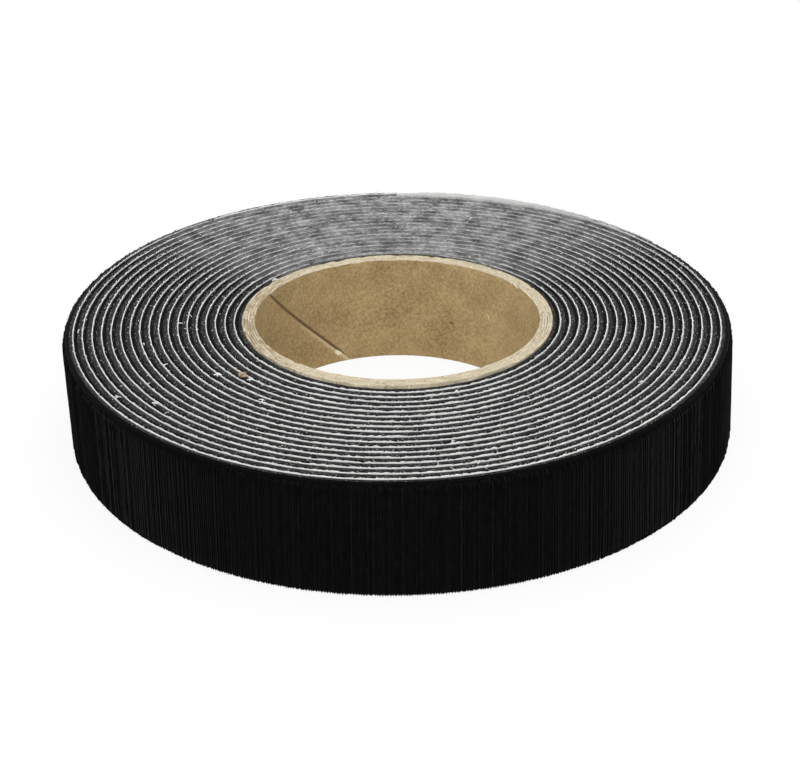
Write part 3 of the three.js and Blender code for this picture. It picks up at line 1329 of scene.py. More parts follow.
class Shapes:
    """Small shapes that are repeated: pile rows, loops, cut fibres, paper chips and shreds."""

    def __init__(self) -> None:
        """Builds the shapes; they are removed once everything is laid."""
        self.row = self.make_row()
        arch = [
            (-0.13, 0.0, -0.05), (-0.1, 0.0, 0.17), (0.0, 0.0, 0.26), (0.1, 0.02, 0.16), (0.13, 0.03, -0.05),
        ]
        bend = [(0.0, 0.0, -0.06), (0.05, 0.01, 0.14), (0.19, 0.03, 0.24)]
        hump = [(-0.13, 0.0, -0.04), (0.0, 0.02, 0.07), (0.15, -0.03, 0.06)]
        curl = [(-0.42, 0.0, 0.0), (-0.18, 0.05, 0.12), (0.1, -0.04, 0.16), (0.4, 0.06, 0.04)]
        self.loop = tube("loop_shape", arch, radius=0.03, sides=3)
        self.fibre = tube("fibre_shape", bend, radius=0.026, sides=3)
        self.tuft = tube("tuft_shape", hump, radius=0.036, sides=3)
        self.shred = tube("shred_shape", curl, radius=0.07, sides=4)
        self.chip = self.make_chip()

    @staticmethod
    def make_row() -> bpy.types.Object:
        """Makes one row of the pile: a thin upright ridge that narrows at both ends.

        Returns:
            The row.
        """
        half_width = 0.34
        rise = 0.5
        shoulder_rise = 0.4
        shoulder = 0.2
        sunk = -0.08
        flank = 0.02
        end_share = 0.35
        low = 0.1
        high = 19.85
        taper = 0.8
        segments = 11
        middle = [low + taper + (high - low - 2 * taper) * step / segments for step in range(segments + 1)]
        rings = []
        for height in (low, *middle, high):
            swell = end_share if height in (low, high) else 1.0
            outline = [
                (sunk, 0.0), (flank, -half_width), (shoulder_rise * swell, -shoulder), (rise * swell, 0.0),
                (shoulder_rise * swell, shoulder), (flank, half_width),
            ]
            rings.append([Vector((x, y * swell, height)) for x, y in outline])
        return ringed("row_shape", rings)

    @staticmethod
    def make_chip() -> bpy.types.Object:
        """Makes a torn chip of paper: a bent flat shape with six uneven corners.

        Returns:
            The chip.
        """
        reach = (0.3, 0.2, 0.34, 0.22, 0.28, 0.16)
        thick = 0.06
        curl = 0.12
        rings = []
        for level in (0.0, thick):
            angles = [2.0 * math.pi * index / len(reach) for index in range(len(reach))]
            flat = [Vector((math.cos(a), math.sin(a), 0.0)) * far for a, far in zip(angles, reach)]
            raised = [level + curl * math.cos(a) ** 2 for a in angles]
            rings.append([p + Vector((0.0, 0.0, rise)) for p, rise in zip(flat, raised)])
        return ringed("chip_shape", rings)

    def remove(self) -> None:
        """Takes the shapes out of the scene."""
        for shape in (self.row, self.loop, self.fibre, self.tuft, self.shred, self.chip):
            bpy.data.objects.remove(shape)


@dataclass(frozen=True)
class Fold:
    """Bend of the strip at a joint: it starts at the joint's axis and ends further along the strip."""

    joint: str
    before: Body
    after: Body
    length: float

    @property
    def place(self) -> Point:
        """The joint's place in the frame, in metres."""
        return next(tuple(j["pos_m"]) for j in frame["joints"] if j["name"] == self.joint)

    def bend(self, piece: bpy.types.Object) -> None:
        """Bakes a piece's transform into its mesh; the bend's end along the strip is found but not used.

        Args:
            piece: the finished mesh.
        """
        x, y, z = self.place
        ahead = Vector((y, -x, 0.0)).normalized()
        end = Vector(self.place) + ahead * self.length * MM
        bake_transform(piece)


@dataclass(frozen=True)
class Stretch:
    """Part of the tape between two travels, on the roll or across one fold."""

    name: str
    start: float
    end: float
    fold: Fold | None = None

    def carry(self, piece: bpy.types.Object, slot: Slot, nodes: tuple[str, ...] = ()) -> None:
        """Puts a piece on the roll's body, or bakes its transform where the stretch crosses a fold, then
        hides the CAD nodes it stands for.

        Args:
            piece: the finished mesh.
            slot: not used.
            nodes: CAD nodes that it stands for.
        """
        if self.fold is None:
            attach(piece, Body.ROLL.value)
        else:
            self.fold.bend(piece)
        if nodes:
            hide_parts(*nodes)
        triangles = sum(len(p.vertices) - 2 for p in piece.data.polygons)
        LOG.info("%s: %d triangles", piece.name, triangles)


class Layout:
    """Where the parts of the tape start and end along the winding."""

    lift_bend: ClassVar[float] = 18.0
    peel_bend: ClassVar[float] = 14.0
    wedge_to_film: ClassVar[float] = 6.0

    def __init__(self, winding: Winding, tail_length: float, wedge: float) -> None:
        """Finds the stretches from the joints of the frame.

        Args:
            winding: the tape's path.
            tail_length: how far the liner runs on past the tape's tip.
            wedge: travel over which the fabric's inner end thins out against the core.
        """
        lift = Fold("end_lift", Body.ROLL, Body.FREE_END, self.lift_bend)
        peel = Fold("tip_peel", Body.FREE_END, Body.PEEL_TIP, self.peel_bend)
        tip = winding.tip_travel
        tail = winding.travel_of(tail_length)
        lift_travel = winding.travel_at(lift.place)
        peel_travel = winding.travel_at(peel.place)
        film_wedge = wedge / self.wedge_to_film
        self.last_turn = tip - FULL_TURN
        self.wound = Stretch("wound", -wedge, self.last_turn)
        self.outer_turn = Stretch("outer_turn", self.last_turn, lift_travel)
        self.wound_film = Stretch("wound_film", -film_wedge, lift_travel)
        self.lined = Stretch("lined", winding.unlined_turns * FULL_TURN, lift_travel)
        self.inner_lined = Stretch("inner_lined", FULL_TURN, self.last_turn)
        self.under_tail = Stretch("under_tail", self.last_turn, self.last_turn + tail)
        self.outside = Stretch("outside", self.last_turn + tail, lift_travel)
        self.free = Stretch("free_end", lift_travel, peel_travel, lift)
        self.free_liner = Stretch("free_liner", lift_travel, tip + tail, lift)
        self.tip = Stretch("tip", peel_travel, tip, peel)


@dataclass
class Bench:
    """What every sub-assembly works with."""

    finishes: Finishes
    trees: Trees
    shapes: Shapes
    winding: Winding
    layout: Layout


@dataclass(frozen=True)
class Scatter:
    """Many copies of one small shape along a stretch of the winding."""

    name: str
    per_metre: float
    seed: int
    depth: Range
    height: Range
    size_low: Point
    size_high: Point
    turn_low: Point = (-40.0, -40.0, 0.0)
    turn_high: Point = (40.0, 40.0, FULL_TURN)
    lean: float = 0.0
    jitter: float = 1.0
    relief: float = 0.0
    relief_length: float = 1.0
    even_share: float = 0.77
    sector_middle: float = 0.0
    sector_half: float = 180.0

    def build(self, bench: Bench, winding: Winding, stretch: Stretch, shape: bpy.types.Object,
              material: bpy.types.Material) -> bpy.types.Object:
        """Sets the copies.

        Args:
            bench: the trees.
            winding: the path to follow.
            stretch: the part of it to cover.
            shape: what is repeated.
            material: its finish.

        Returns:
            The copies as one mesh.
        """
        long = stretch.end - stretch.start > 2 * FULL_TURN
        values = {
            "Shape": shape,
            "Count": max(1, round(self.per_metre * winding.length_of(stretch.start, stretch.end) * MM)),
            "Seed": self.seed,
            "Start Travel": math.radians(stretch.start),
            "End Travel": math.radians(stretch.end),
            "Crowding": self.even_share if long else 1.0,
            "Jitter": self.jitter,
            **winding.inputs(),
            "Depth Low": self.depth[0] * MM,
            "Depth High": self.depth[1] * MM,
            "Height Low": self.height[0] * MM,
            "Height High": self.height[1] * MM,
            "Size Low": self.size_low,
            "Size High": self.size_high,
            "Turn Low": tuple(math.radians(a) for a in self.turn_low),
            "Turn High": tuple(math.radians(a) for a in self.turn_high),
            "Lean": math.radians(self.lean),
            "Relief": self.relief * MM,
            "Relief Length": self.relief_length * MM,
            "Sector Middle": math.radians(self.sector_middle),
            "Sector Limit": math.cos(math.radians(self.sector_half)),
            "Material": material,
        }
        made = grow(f"{stretch.name}_{self.name}", bench.trees.scatter, values)
        made.data.shade_smooth()
        return made


# Core


@dataclass
class CardboardCore:
    """Core of five plies, each a board strip that butts along a slanted seam."""

    bore: float = 50.8
    length: float = 20.4
    ply: float = 0.43
    glue_line: float = 0.03
    seam_width: float = 0.06
    seam_tilt: float = 45.0
    seam_azimuth: float = 133.8
    seam_stagger: float = 144.0
    columns: int = 280
    crowding: float = 0.85
    rows: int = 16
    edge_round: float = 0.07
    edge_burr: float = 0.1
    burr_scale: float = 2.3
    burr_share: float = 0.7
    rise_scale: float = 1.7
    rise_shift: Point = (9.0, 4.0, 2.0)
    rise_share: float = 0.6
    wave_scale: float = 0.16
    wave_reach: float = 0.05
    notch_scale: float = 0.9
    notch_shift: Point = (3.0, 8.0, 5.0)
    notch_start: float = 0.22
    notch_depth: float = 0.7
    end_slant: float = 0.45
    foot_flare: float = 0.4
    foot_reach: float = 3.0
    lip_height: float = 0.2
    lip_reach: float = 2.6
    tear_scale: float = 0.6
    tear_least: float = 0.75
    tear_swing: float = 0.5
    names: tuple[str, ...] = (
        "core_inner_ply", "core_second_ply", "core_third_ply", "core_fourth_ply", "core_outer_ply",
    )

    def section(self, inner: float) -> tuple[np.ndarray, int]:
        """Outline of a ply's wall in radius and height, from the inner face over the top and back under.

        Args:
            inner: the ply's inner radius.

        Returns:
            The points, and how many of them lie on the inner face.
        """
        outer = inner + self.ply
        top = self.length
        heights = np.linspace(self.edge_round, top - self.edge_round, self.rows + 1)
        across = (inner + self.edge_round, (inner + outer) / 2, outer - self.edge_round)
        points = [(inner, z) for z in heights]
        points += [(radius, top) for radius in across]
        points += [(outer, z) for z in heights[::-1]]
        points += [(radius, 0.0) for radius in across[::-1]]
        return np.array(points), self.rows + 1

    def relief(self, place: Vector, away: float, on_bore: bool) -> Vector:
        """Moves a point of a ply off its plain ring: burrs, waves, a raised seam lip and a pressed-in foot.

        Args:
            place: the point on the plain ring, in millimetres.
            away: its distance round the ring from the seam.
            on_bore: whether it lies on the bore's face.

        Returns:
            The offset in millimetres.
        """
        outwards = Vector((place.x, place.y, 0.0)).normalized()
        wave = noise.noise(place * self.wave_scale) * self.wave_reach
        burr = Vector((0.0, 0.0, 0.0))
        if min(place.z, self.length - place.z) < 2 * self.edge_round:
            burr = outwards * noise.noise(place * self.burr_scale) * self.edge_burr * self.burr_share
            if place.z > self.length / 2:
                chipped = noise.noise(place * self.notch_scale + Vector(self.notch_shift)) - self.notch_start
                rise = noise.noise(place * self.rise_scale + Vector(self.rise_shift))
                burr.z = rise * self.edge_burr * self.rise_share
                burr.z -= max(0.0, chipped) * self.notch_depth
        lip = 0.0
        if on_bore:
            torn = self.tear_least + self.tear_swing * noise.noise(place * self.tear_scale)
            lip = self.lip_height * torn * max(0.0, 1.0 - away / self.lip_reach) ** 2
        flare = self.foot_flare * max(0.0, 1.0 - place.z / self.foot_reach) ** 2
        return outwards * (wave - lip - flare) + burr

    def ply_mesh(self, name: str, inner: float, azimuth: float, showing: Showing) -> bpy.types.Object:
        """Builds one ply, with columns that crowd towards its seam and a torn, pale upper edge outside.

        Args:
            name: the piece's name.
            inner: its inner radius.
            azimuth: its seam's azimuth at half height.
            showing: which plain face shows.

        Returns:
            The ply, with its board face and its cut faces told apart.
        """
        outline, on_inner = self.section(inner)
        lean = math.tan(math.radians(self.seam_tilt)) / inner
        gap = self.seam_width / math.cos(math.radians(self.seam_tilt)) / inner
        count = len(outline)
        vertices = []
        along = []
        seam = []
        for column in range(self.columns + 1):
            even = column / self.columns
            share = even - self.crowding * math.sin(2.0 * math.pi * even) / (2.0 * math.pi)
            for index, (radius, height) in enumerate(outline):
                start = math.radians(azimuth) + lean * (height - self.length / 2)
                angle = start + gap / 2 + (2.0 * math.pi - gap) * share
                away = 2.0 * math.pi * inner * share
                plain = Vector((radius * math.cos(angle), radius * math.sin(angle), height))
                on_bore = showing is Showing.BORE and index < on_inner
                vertices.append((plain + self.relief(plain, away, on_bore)) * MM)
                along.append(angle * inner * MM)
                seam.append(away * MM)
        faces = []
        for column in range(self.columns):
            for index in range(count):
                here = column * count + index
                beside = column * count + (index + 1) % count
                faces.append((here, here + count, beside + count, beside))
        faces.append(tuple(range(count)))
        faces.append(tuple(range(self.columns * count, (self.columns + 1) * count)))
        made = mesh_object(name, vertices, faces)
        keep_values(made, "along", along)
        keep_values(made, "seam", seam)
        first_outer = count // 2
        faced = {
            Showing.BORE: range(self.rows),
            Showing.OUTSIDE: range(first_outer + 1, first_outer + self.rows),
            Showing.NEITHER: range(0),
        }[showing]
        cut = np.ones(len(faces), np.int32)
        for column in range(self.columns):
            for index in faced:
                cut[column * count + index] = 0
        made.data.polygons.foreach_set("material_index", cut)
        return made

    def slant(self, piece: bpy.types.Object) -> None:
        """Tilts the upper end, which is cut a little higher at the front than at the back.

        Args:
            piece: a mesh of the core.
        """
        places = np.empty(len(piece.data.vertices) * 3, np.float32)
        piece.data.vertices.foreach_get("co", places)
        x, y, z = places.reshape(-1, 3).T
        z -= self.end_slant / self.length * z * y / np.hypot(x, y)
        piece.data.vertices.foreach_set("co", places)
        piece.data.update()

    def build(self, bench: Bench) -> None:
        """Builds and dresses the plies and the torn fibres on their cut end.

        Args:
            bench: finishes, trees and shapes.
        """
        last = len(self.names) - 1
        whole = Stretch("core", 0.0, FULL_TURN)
        for index, name in enumerate(self.names):
            inner = self.bore / 2 + index * (self.ply + self.glue_line)
            showing = {0: Showing.BORE, last: Showing.OUTSIDE}.get(index, Showing.NEITHER)
            azimuth = self.seam_azimuth + index * self.seam_stagger
            ply = self.ply_mesh(name + "_board", inner, azimuth, showing)
            ply.data.materials.append(bench.finishes.kraft)
            ply.data.materials.append(bench.finishes.cut_board)
            self.slant(ply)
            face_outwards(ply)
            whole.carry(ply, Slot.BOARD if showing is Showing.NEITHER else Slot.BOARD_FACE, (name,))
        ring = Winding(seat_radius=self.bore / 2, pitch=0.0, wander=0.0, dent=0.0, splay=0.0)
        burrs = Scatter(
            "burrs", per_metre=1400.0, seed=21, depth=(0.05, 2.2),
            height=(self.length - 0.04, self.length + 0.02), size_low=(0.4, 0.5, 0.3),
            size_high=(1.0, 1.0, 0.7), turn_low=(-50.0, -50.0, 0.0), turn_high=(50.0, 50.0, FULL_TURN),
            relief=0.1, relief_length=0.4,
        )
        made = burrs.build(bench, ring, whole, bench.shapes.fibre, bench.finishes.cut_board)
        self.slant(made)
        whole.carry(made, Slot.BOARD)


# Tape


@dataclass(frozen=True)
class Corner:
    """Point of a strip's cross-section: depth, height, and how far its edge effects reach it."""

    depth: float
    height: float
    fray: float = 0.0
    sway: float = 0.0
    pile: float = 0.0
    lift: float = 0.0


def profile(name: str, corners: list[Corner]) -> bpy.types.Object:
    """Makes the closed outline of a strip's cross-section, as a loop of edges.

    Args:
        name: the object's name.
        corners: its points in order.

    Returns:
        The outline, lying flat with depth against X and height against Y, as the strip's curve carries it.
    """
    count = len(corners)
    points = [(-c.depth * MM, -c.height * MM, 0.0) for c in corners]
    made = mesh_object(name, points, [], [(i, (i + 1) % count) for i in range(count)])
    keep_values(made, "fray", [c.fray for c in corners])
    keep_values(made, "sway", [c.sway for c in corners])
    keep_values(made, "pile", [c.pile for c in corners])
    keep_values(made, "raise", [c.lift for c in corners])
    keep_values(made, "depth", [c.depth * MM for c in corners])
    return made


@dataclass
class Tape:
    """The three layers of the strip, wound and at the free end."""

    tail_length: float = 56.0
    wedge: float = 58.0
    low: float = 0.06
    high: float = 20.2
    liner_width: float = 20.34
    liner_thickness: float = 0.1
    adhesive_thickness: float = 0.14
    adhesive_inset: float = 0.1
    ground_thickness: float = 0.72
    fabric_thickness: float = 1.27
    layer_gap: float = 0.015
    core_clearance: float = 27.7
    liner_clearance: float = 27.95
    liner_bend: float = 1.6
    path_steps_per_turn: int = 120
    least_path_steps: int = 12
    fabric_step: float = 0.8
    film_step: float = 1.6
    paper_step: float = 0.34
    bending_step: float = 0.25
    tail_raise: float = 0.32
    tail_sink: float = 0.35
    back_sink: float = 0.13
    raise_span: float = 16.0
    raise_lead: float = 6.0
    drop_delay: float = 42.0
    tip_lead: float = 4.0
    tip_delay: float = 14.0
    sway_length: float = 4.0
    fray_length: float = 1.5

    @property
    def fabric_depth(self) -> float:
        """Depth of the fabric's back."""
        return self.adhesive_thickness + self.layer_gap

    @property
    def ground_depth(self) -> float:
        """Depth where the ground ends and the pile starts."""
        return self.fabric_depth + self.ground_thickness

    @property
    def outer_depth(self) -> float:
        """Depth of the fabric's outer face."""
        return self.fabric_depth + self.fabric_thickness

    def fabric_profile(self, outermost: bool) -> bpy.types.Object:
        """Cross-section of the fabric: a flat ground with a pile that stands up beside the next liner.

        Args:
            outermost: whether the pile is free on its outer side, so that it rounds over the edge.

        Returns:
            The outline.
        """
        back = self.fabric_depth
        ground = self.ground_depth
        front = self.outer_depth
        drops = (
            (back, 0.04, 1.0, 0.0),
            (back + 0.16, 0.0, 1.0, 0.0),
            (ground - 0.2, 0.0, 1.0, float(outermost)),
            (ground, 0.08, 0.8, 0.4 + float(outermost)),
            (ground + 0.14, 0.0, 0.9, 1.0),
            (front - 0.14, -0.06, 0.9, 1.0),
            (front, 0.0, 0.5, 1.0),
        )
        rounding = 0.45 if outermost else 0.0
        bottom_share = 0.4
        bottom_fray = 0.2
        sway_share = 0.6
        top = []
        bottom = []
        for depth, drop, fray, pile in drops:
            over = rounding * ((depth - back) / (front - back)) ** 2
            top.append(Corner(depth, self.high - drop - over, fray, sway_share * fray, pile))
            rise = bottom_share * max(0.0, drop + over)
            bottom.append(Corner(depth, self.low + rise, bottom_fray * fray, sway_share * fray, pile))
        return profile("fabric_section", top + bottom[::-1])

    def adhesive_profile(self) -> bpy.types.Object:
        """Cross-section of the adhesive.

        Returns:
            The outline.
        """
        low = self.low + self.adhesive_inset
        high = self.high - self.adhesive_inset
        thick = self.adhesive_thickness
        fray = 0.3
        corners = [Corner(0.0, high, fray), Corner(thick, high, fray), Corner(thick, low), Corner(0.0, low)]
        return profile("adhesive_section", corners)

    def liner_profile(self) -> bpy.types.Object:
        """Cross-section of the liner, whose edges stand proud of the fabric.

        Returns:
            The outline.
        """
        front = -self.layer_gap
        back = front - self.liner_thickness
        bend = self.liner_width - self.liner_bend
        bottom = 0.05
        corners = [
            Corner(back, bend, lift=0.9),
            Corner(back, self.liner_width, fray=1.0, sway=1.0, lift=1.0),
            Corner(front, self.liner_width, fray=1.0, sway=1.0, lift=1.0),
            Corner(front, bend, lift=0.9),
            Corner(front, bottom, fray=0.1, sway=0.5),
            Corner(back, bottom, fray=0.1, sway=0.5),
        ]
        return profile("liner_section", corners)

    def lay(self, bench: Bench, name: str, section: bpy.types.Object, stretch: Stretch,
            finishes: tuple[bpy.types.Material, bpy.types.Material],
            extra: dict[str, float]) -> bpy.types.Object:
        """Lays one layer along a stretch.

        Args:
            bench: the winding and the trees.
            name: the piece's name.
            section: the layer's cross-section.
            stretch: where it runs.
            finishes: materials of the layer and of the pile on it.
            extra: other inputs of the strip's tree.

        Returns:
            The strip.
        """
        turns = (stretch.end - stretch.start) / FULL_TURN
        values = {
            "Profile": section,
            "Start Travel": math.radians(stretch.start),
            "End Travel": math.radians(stretch.end),
            "Path Steps": max(self.least_path_steps, int(turns * self.path_steps_per_turn)),
            **bench.winding.inputs(),
            "Floor Radius": self.core_clearance * MM,
            "Wedge": math.radians(self.wedge),
            "Raise Span": math.radians(self.raise_span),
            "Drop Span": math.radians(self.raise_span),
            "Sway Length": self.sway_length * MM,
            "Fray Length": self.fray_length * MM,
            "Edge Material": finishes[0],
            "Pile Material": finishes[1],
            **extra,
        }
        if stretch.fold is not None:
            values["Step Length"] = self.bending_step * MM
        made = grow(name, bench.trees.strip, values)
        face_outwards(made)
        return made

    def build(self, bench: Bench) -> None:
        """Lays and dresses the three layers, wound and at the free end.

        Args:
            bench: finishes, trees and the layout.
        """
        layout = bench.layout
        fabric = self.fabric_profile(False)
        outer_fabric = self.fabric_profile(True)
        adhesive = self.adhesive_profile()
        liner = self.liner_profile()
        tip = bench.winding.tip_travel
        knit = (bench.finishes.ground, bench.finishes.pile)
        film = (bench.finishes.film, bench.finishes.film)
        paper = (bench.finishes.paper, bench.finishes.paper)
        clean = (bench.finishes.clean_paper, bench.finishes.clean_paper)
        frayed = {"Step Length": self.fabric_step * MM, "Fray": 0.3 * MM, "Sway": 0.2 * MM, "Seed": 3.0}
        even = {"Step Length": self.film_step * MM, "Seed": 5.0}
        torn = {
            "Step Length": self.paper_step * MM, "Fray": 0.85 * MM, "Fray Length": 0.9 * MM,
            "Sway": 0.34 * MM, "Seed": 11.0, "Raise": self.tail_raise * MM,
            "Floor Radius": self.liner_clearance * MM,
        }
        last = layout.last_turn
        under_tail = {
            **torn, "Raise Start": math.radians(last - self.raise_lead), "Drop": self.tail_raise * MM,
            "Drop Start": math.radians(last + self.drop_delay), "Back Sink": self.back_sink * MM,
        }
        on_tail = {
            **torn, "Raise Start": math.radians(tip - self.tip_lead),
            "Drop": (self.tail_raise + self.tail_sink) * MM, "Drop Start": math.radians(tip + self.tip_delay),
            "Drop Span": math.radians(self.tail_length - self.tip_delay),
        }
        plan = (
            ("loop_fabric", fabric, layout.wound, knit, Slot.FABRIC, frayed),
            ("loop_fabric", outer_fabric, layout.outer_turn, knit, Slot.FABRIC, frayed),
            ("fabric_free_end", outer_fabric, layout.free, knit, Slot.FABRIC, frayed),
            ("fabric_tip", outer_fabric, layout.tip, knit, Slot.FABRIC, frayed),
            ("adhesive_coat", adhesive, layout.wound_film, film, Slot.ADHESIVE, even),
            ("adhesive_free_end", adhesive, layout.free, film, Slot.ADHESIVE, even),
            ("adhesive_tip", adhesive, layout.tip, film, Slot.ADHESIVE, even),
            ("release_liner", liner, layout.lined, paper, Slot.LINER, under_tail),
            ("liner_free_end", liner, layout.free_liner, clean, Slot.LINER, on_tail),
        )
        for node, section, stretch, finishes, slot, extra in plan:
            made = self.lay(bench, f"{node}_{stretch.name}", section, stretch, finishes, extra)
            stretch.carry(made, slot, (node,))
        for section in (fabric, outer_fabric, adhesive, liner):
            bpy.data.objects.remove(section)


@dataclass
class Nap:
    """Loops and rows of the pile on the roll's outside, and cut yarn along the tape's edges."""

    tape: Tape
    row_spacing: float = 0.42
    loops_per_row: int = 11

    def outside(self, bench: Bench) -> None:
        """Sets rows and loops on the outside, with flat rows under the liner's tail.

        Args:
            bench: finishes, trees and the layout.
        """
        layout = bench.layout
        face = bench.winding.moved(self.tape.outer_depth)
        rows_per_metre = 1.0 / (self.row_spacing * MM)
        rows = Scatter(
            "rows", rows_per_metre, seed=31, depth=(-0.03, 0.02), height=(0.0, 0.06),
            size_low=(0.7, 0.8, 0.985), size_high=(1.15, 1.25, 1.0), turn_low=(0.0, 0.0, -4.0),
            turn_high=(0.0, 0.0, 4.0), jitter=0.35, relief=0.16, relief_length=0.9,
        )
        pressed = replace(rows, name="pressed_rows", size_low=(0.1, 0.8, 0.985), size_high=(0.18, 1.25, 1.0),
                          depth=(-0.03, -0.02), relief=0.05)
        loops = Scatter(
            "loops", rows_per_metre * self.loops_per_row, seed=41, depth=(0.1, 0.36), height=(0.3, 19.6),
            size_low=(0.6, 0.6, 0.5), size_high=(1.1, 1.1, 0.95), turn_low=(-35.0, -35.0, 0.0),
            turn_high=(35.0, 35.0, FULL_TURN), lean=90.0,
        )
        for stretch in (layout.outside, layout.free, layout.tip):
            made = rows.build(bench, face, stretch, bench.shapes.row, bench.finishes.pile)
            stretch.carry(made, Slot.FABRIC)
            made = loops.build(bench, face, stretch, bench.shapes.loop, bench.finishes.pile)
            stretch.carry(made, Slot.FABRIC)
        made = pressed.build(bench, face, layout.under_tail, bench.shapes.row, bench.finishes.pile)
        layout.under_tail.carry(made, Slot.FABRIC)

    def edges(self, bench: Bench) -> None:
        """Sets cut yarn along the ground's edges, dark fibres on the pile's and a fuzz at the outer rim.

        Args:
            bench: finishes, trees and the layout.
        """
        layout = bench.layout
        back = self.tape.fabric_depth
        ground = self.tape.ground_depth
        front = self.tape.outer_depth
        top = self.tape.high
        low = self.tape.low
        tufts = Scatter(
            "tufts", 1900.0, seed=51, depth=(back, ground), height=(top - 0.08, top + 0.02),
            size_low=(0.5, 0.6, 0.6), size_high=(1.2, 1.1, 1.2),
        )
        fuzz = Scatter(
            "fuzz", 800.0, seed=52, depth=(ground, front), height=(top - 0.16, top - 0.06),
            size_low=(0.5, 0.5, 0.4), size_high=(1.1, 1.1, 0.8),
        )
        under = Scatter(
            "under_fuzz", 350.0, seed=53, depth=(back, front), height=(low + 0.2, low + 0.26),
            size_low=(0.5, 0.5, 0.4), size_high=(1.0, 1.0, 0.7), lean=180.0,
        )
        rim = Scatter(
            "rim_fuzz", 3600.0, seed=54, depth=(ground - 0.2, front + 0.16), height=(top - 0.6, top - 0.18),
            size_low=(0.5, 0.5, 0.5), size_high=(1.2, 1.2, 1.0), turn_low=(-60.0, -20.0, 0.0),
            turn_high=(60.0, 70.0, FULL_TURN),
        )
        fluff = Scatter(
            "back_fluff", 2600.0, seed=55, depth=(back, front), height=(top - 0.06, top + 0.06),
            size_low=(0.5, 0.6, 0.6), size_high=(1.3, 1.2, 1.3), sector_middle=88.0, sector_half=42.0,
        )
        shapes = bench.shapes
        finishes = bench.finishes
        inner_edges = (
            (tufts, shapes.tuft, finishes.tufts),
            (fluff, shapes.tuft, finishes.tufts),
            (fuzz, shapes.fibre, finishes.ground),
            (under, shapes.fibre, finishes.ground),
        )
        outer_edges = ((rim, shapes.fibre, finishes.pile), (under, shapes.fibre, finishes.pile))
        outer_stretches = (layout.outer_turn, layout.free, layout.tip)
        plan = [(layout.wound, edge) for edge in inner_edges]
        plan += [(stretch, edge) for stretch in outer_stretches for edge in outer_edges]
        for stretch, (scatter, shape, finish) in plan:
            made = scatter.build(bench, bench.winding, stretch, shape, finish)
            stretch.carry(made, Slot.FABRIC)

    def build(self, bench: Bench) -> None:
        """Builds the nap on the outside and along the edges."""
        self.outside(bench)
        self.edges(bench)


@dataclass(frozen=True)
class Bit:
    """Loose bit on the roll's upper end: its place, size, number of shreds, material and known direction."""

    azimuth: float
    radius: float
    size: float = 0.7
    shreds: int = 2
    from_board: bool = False
    facing: float | None = None


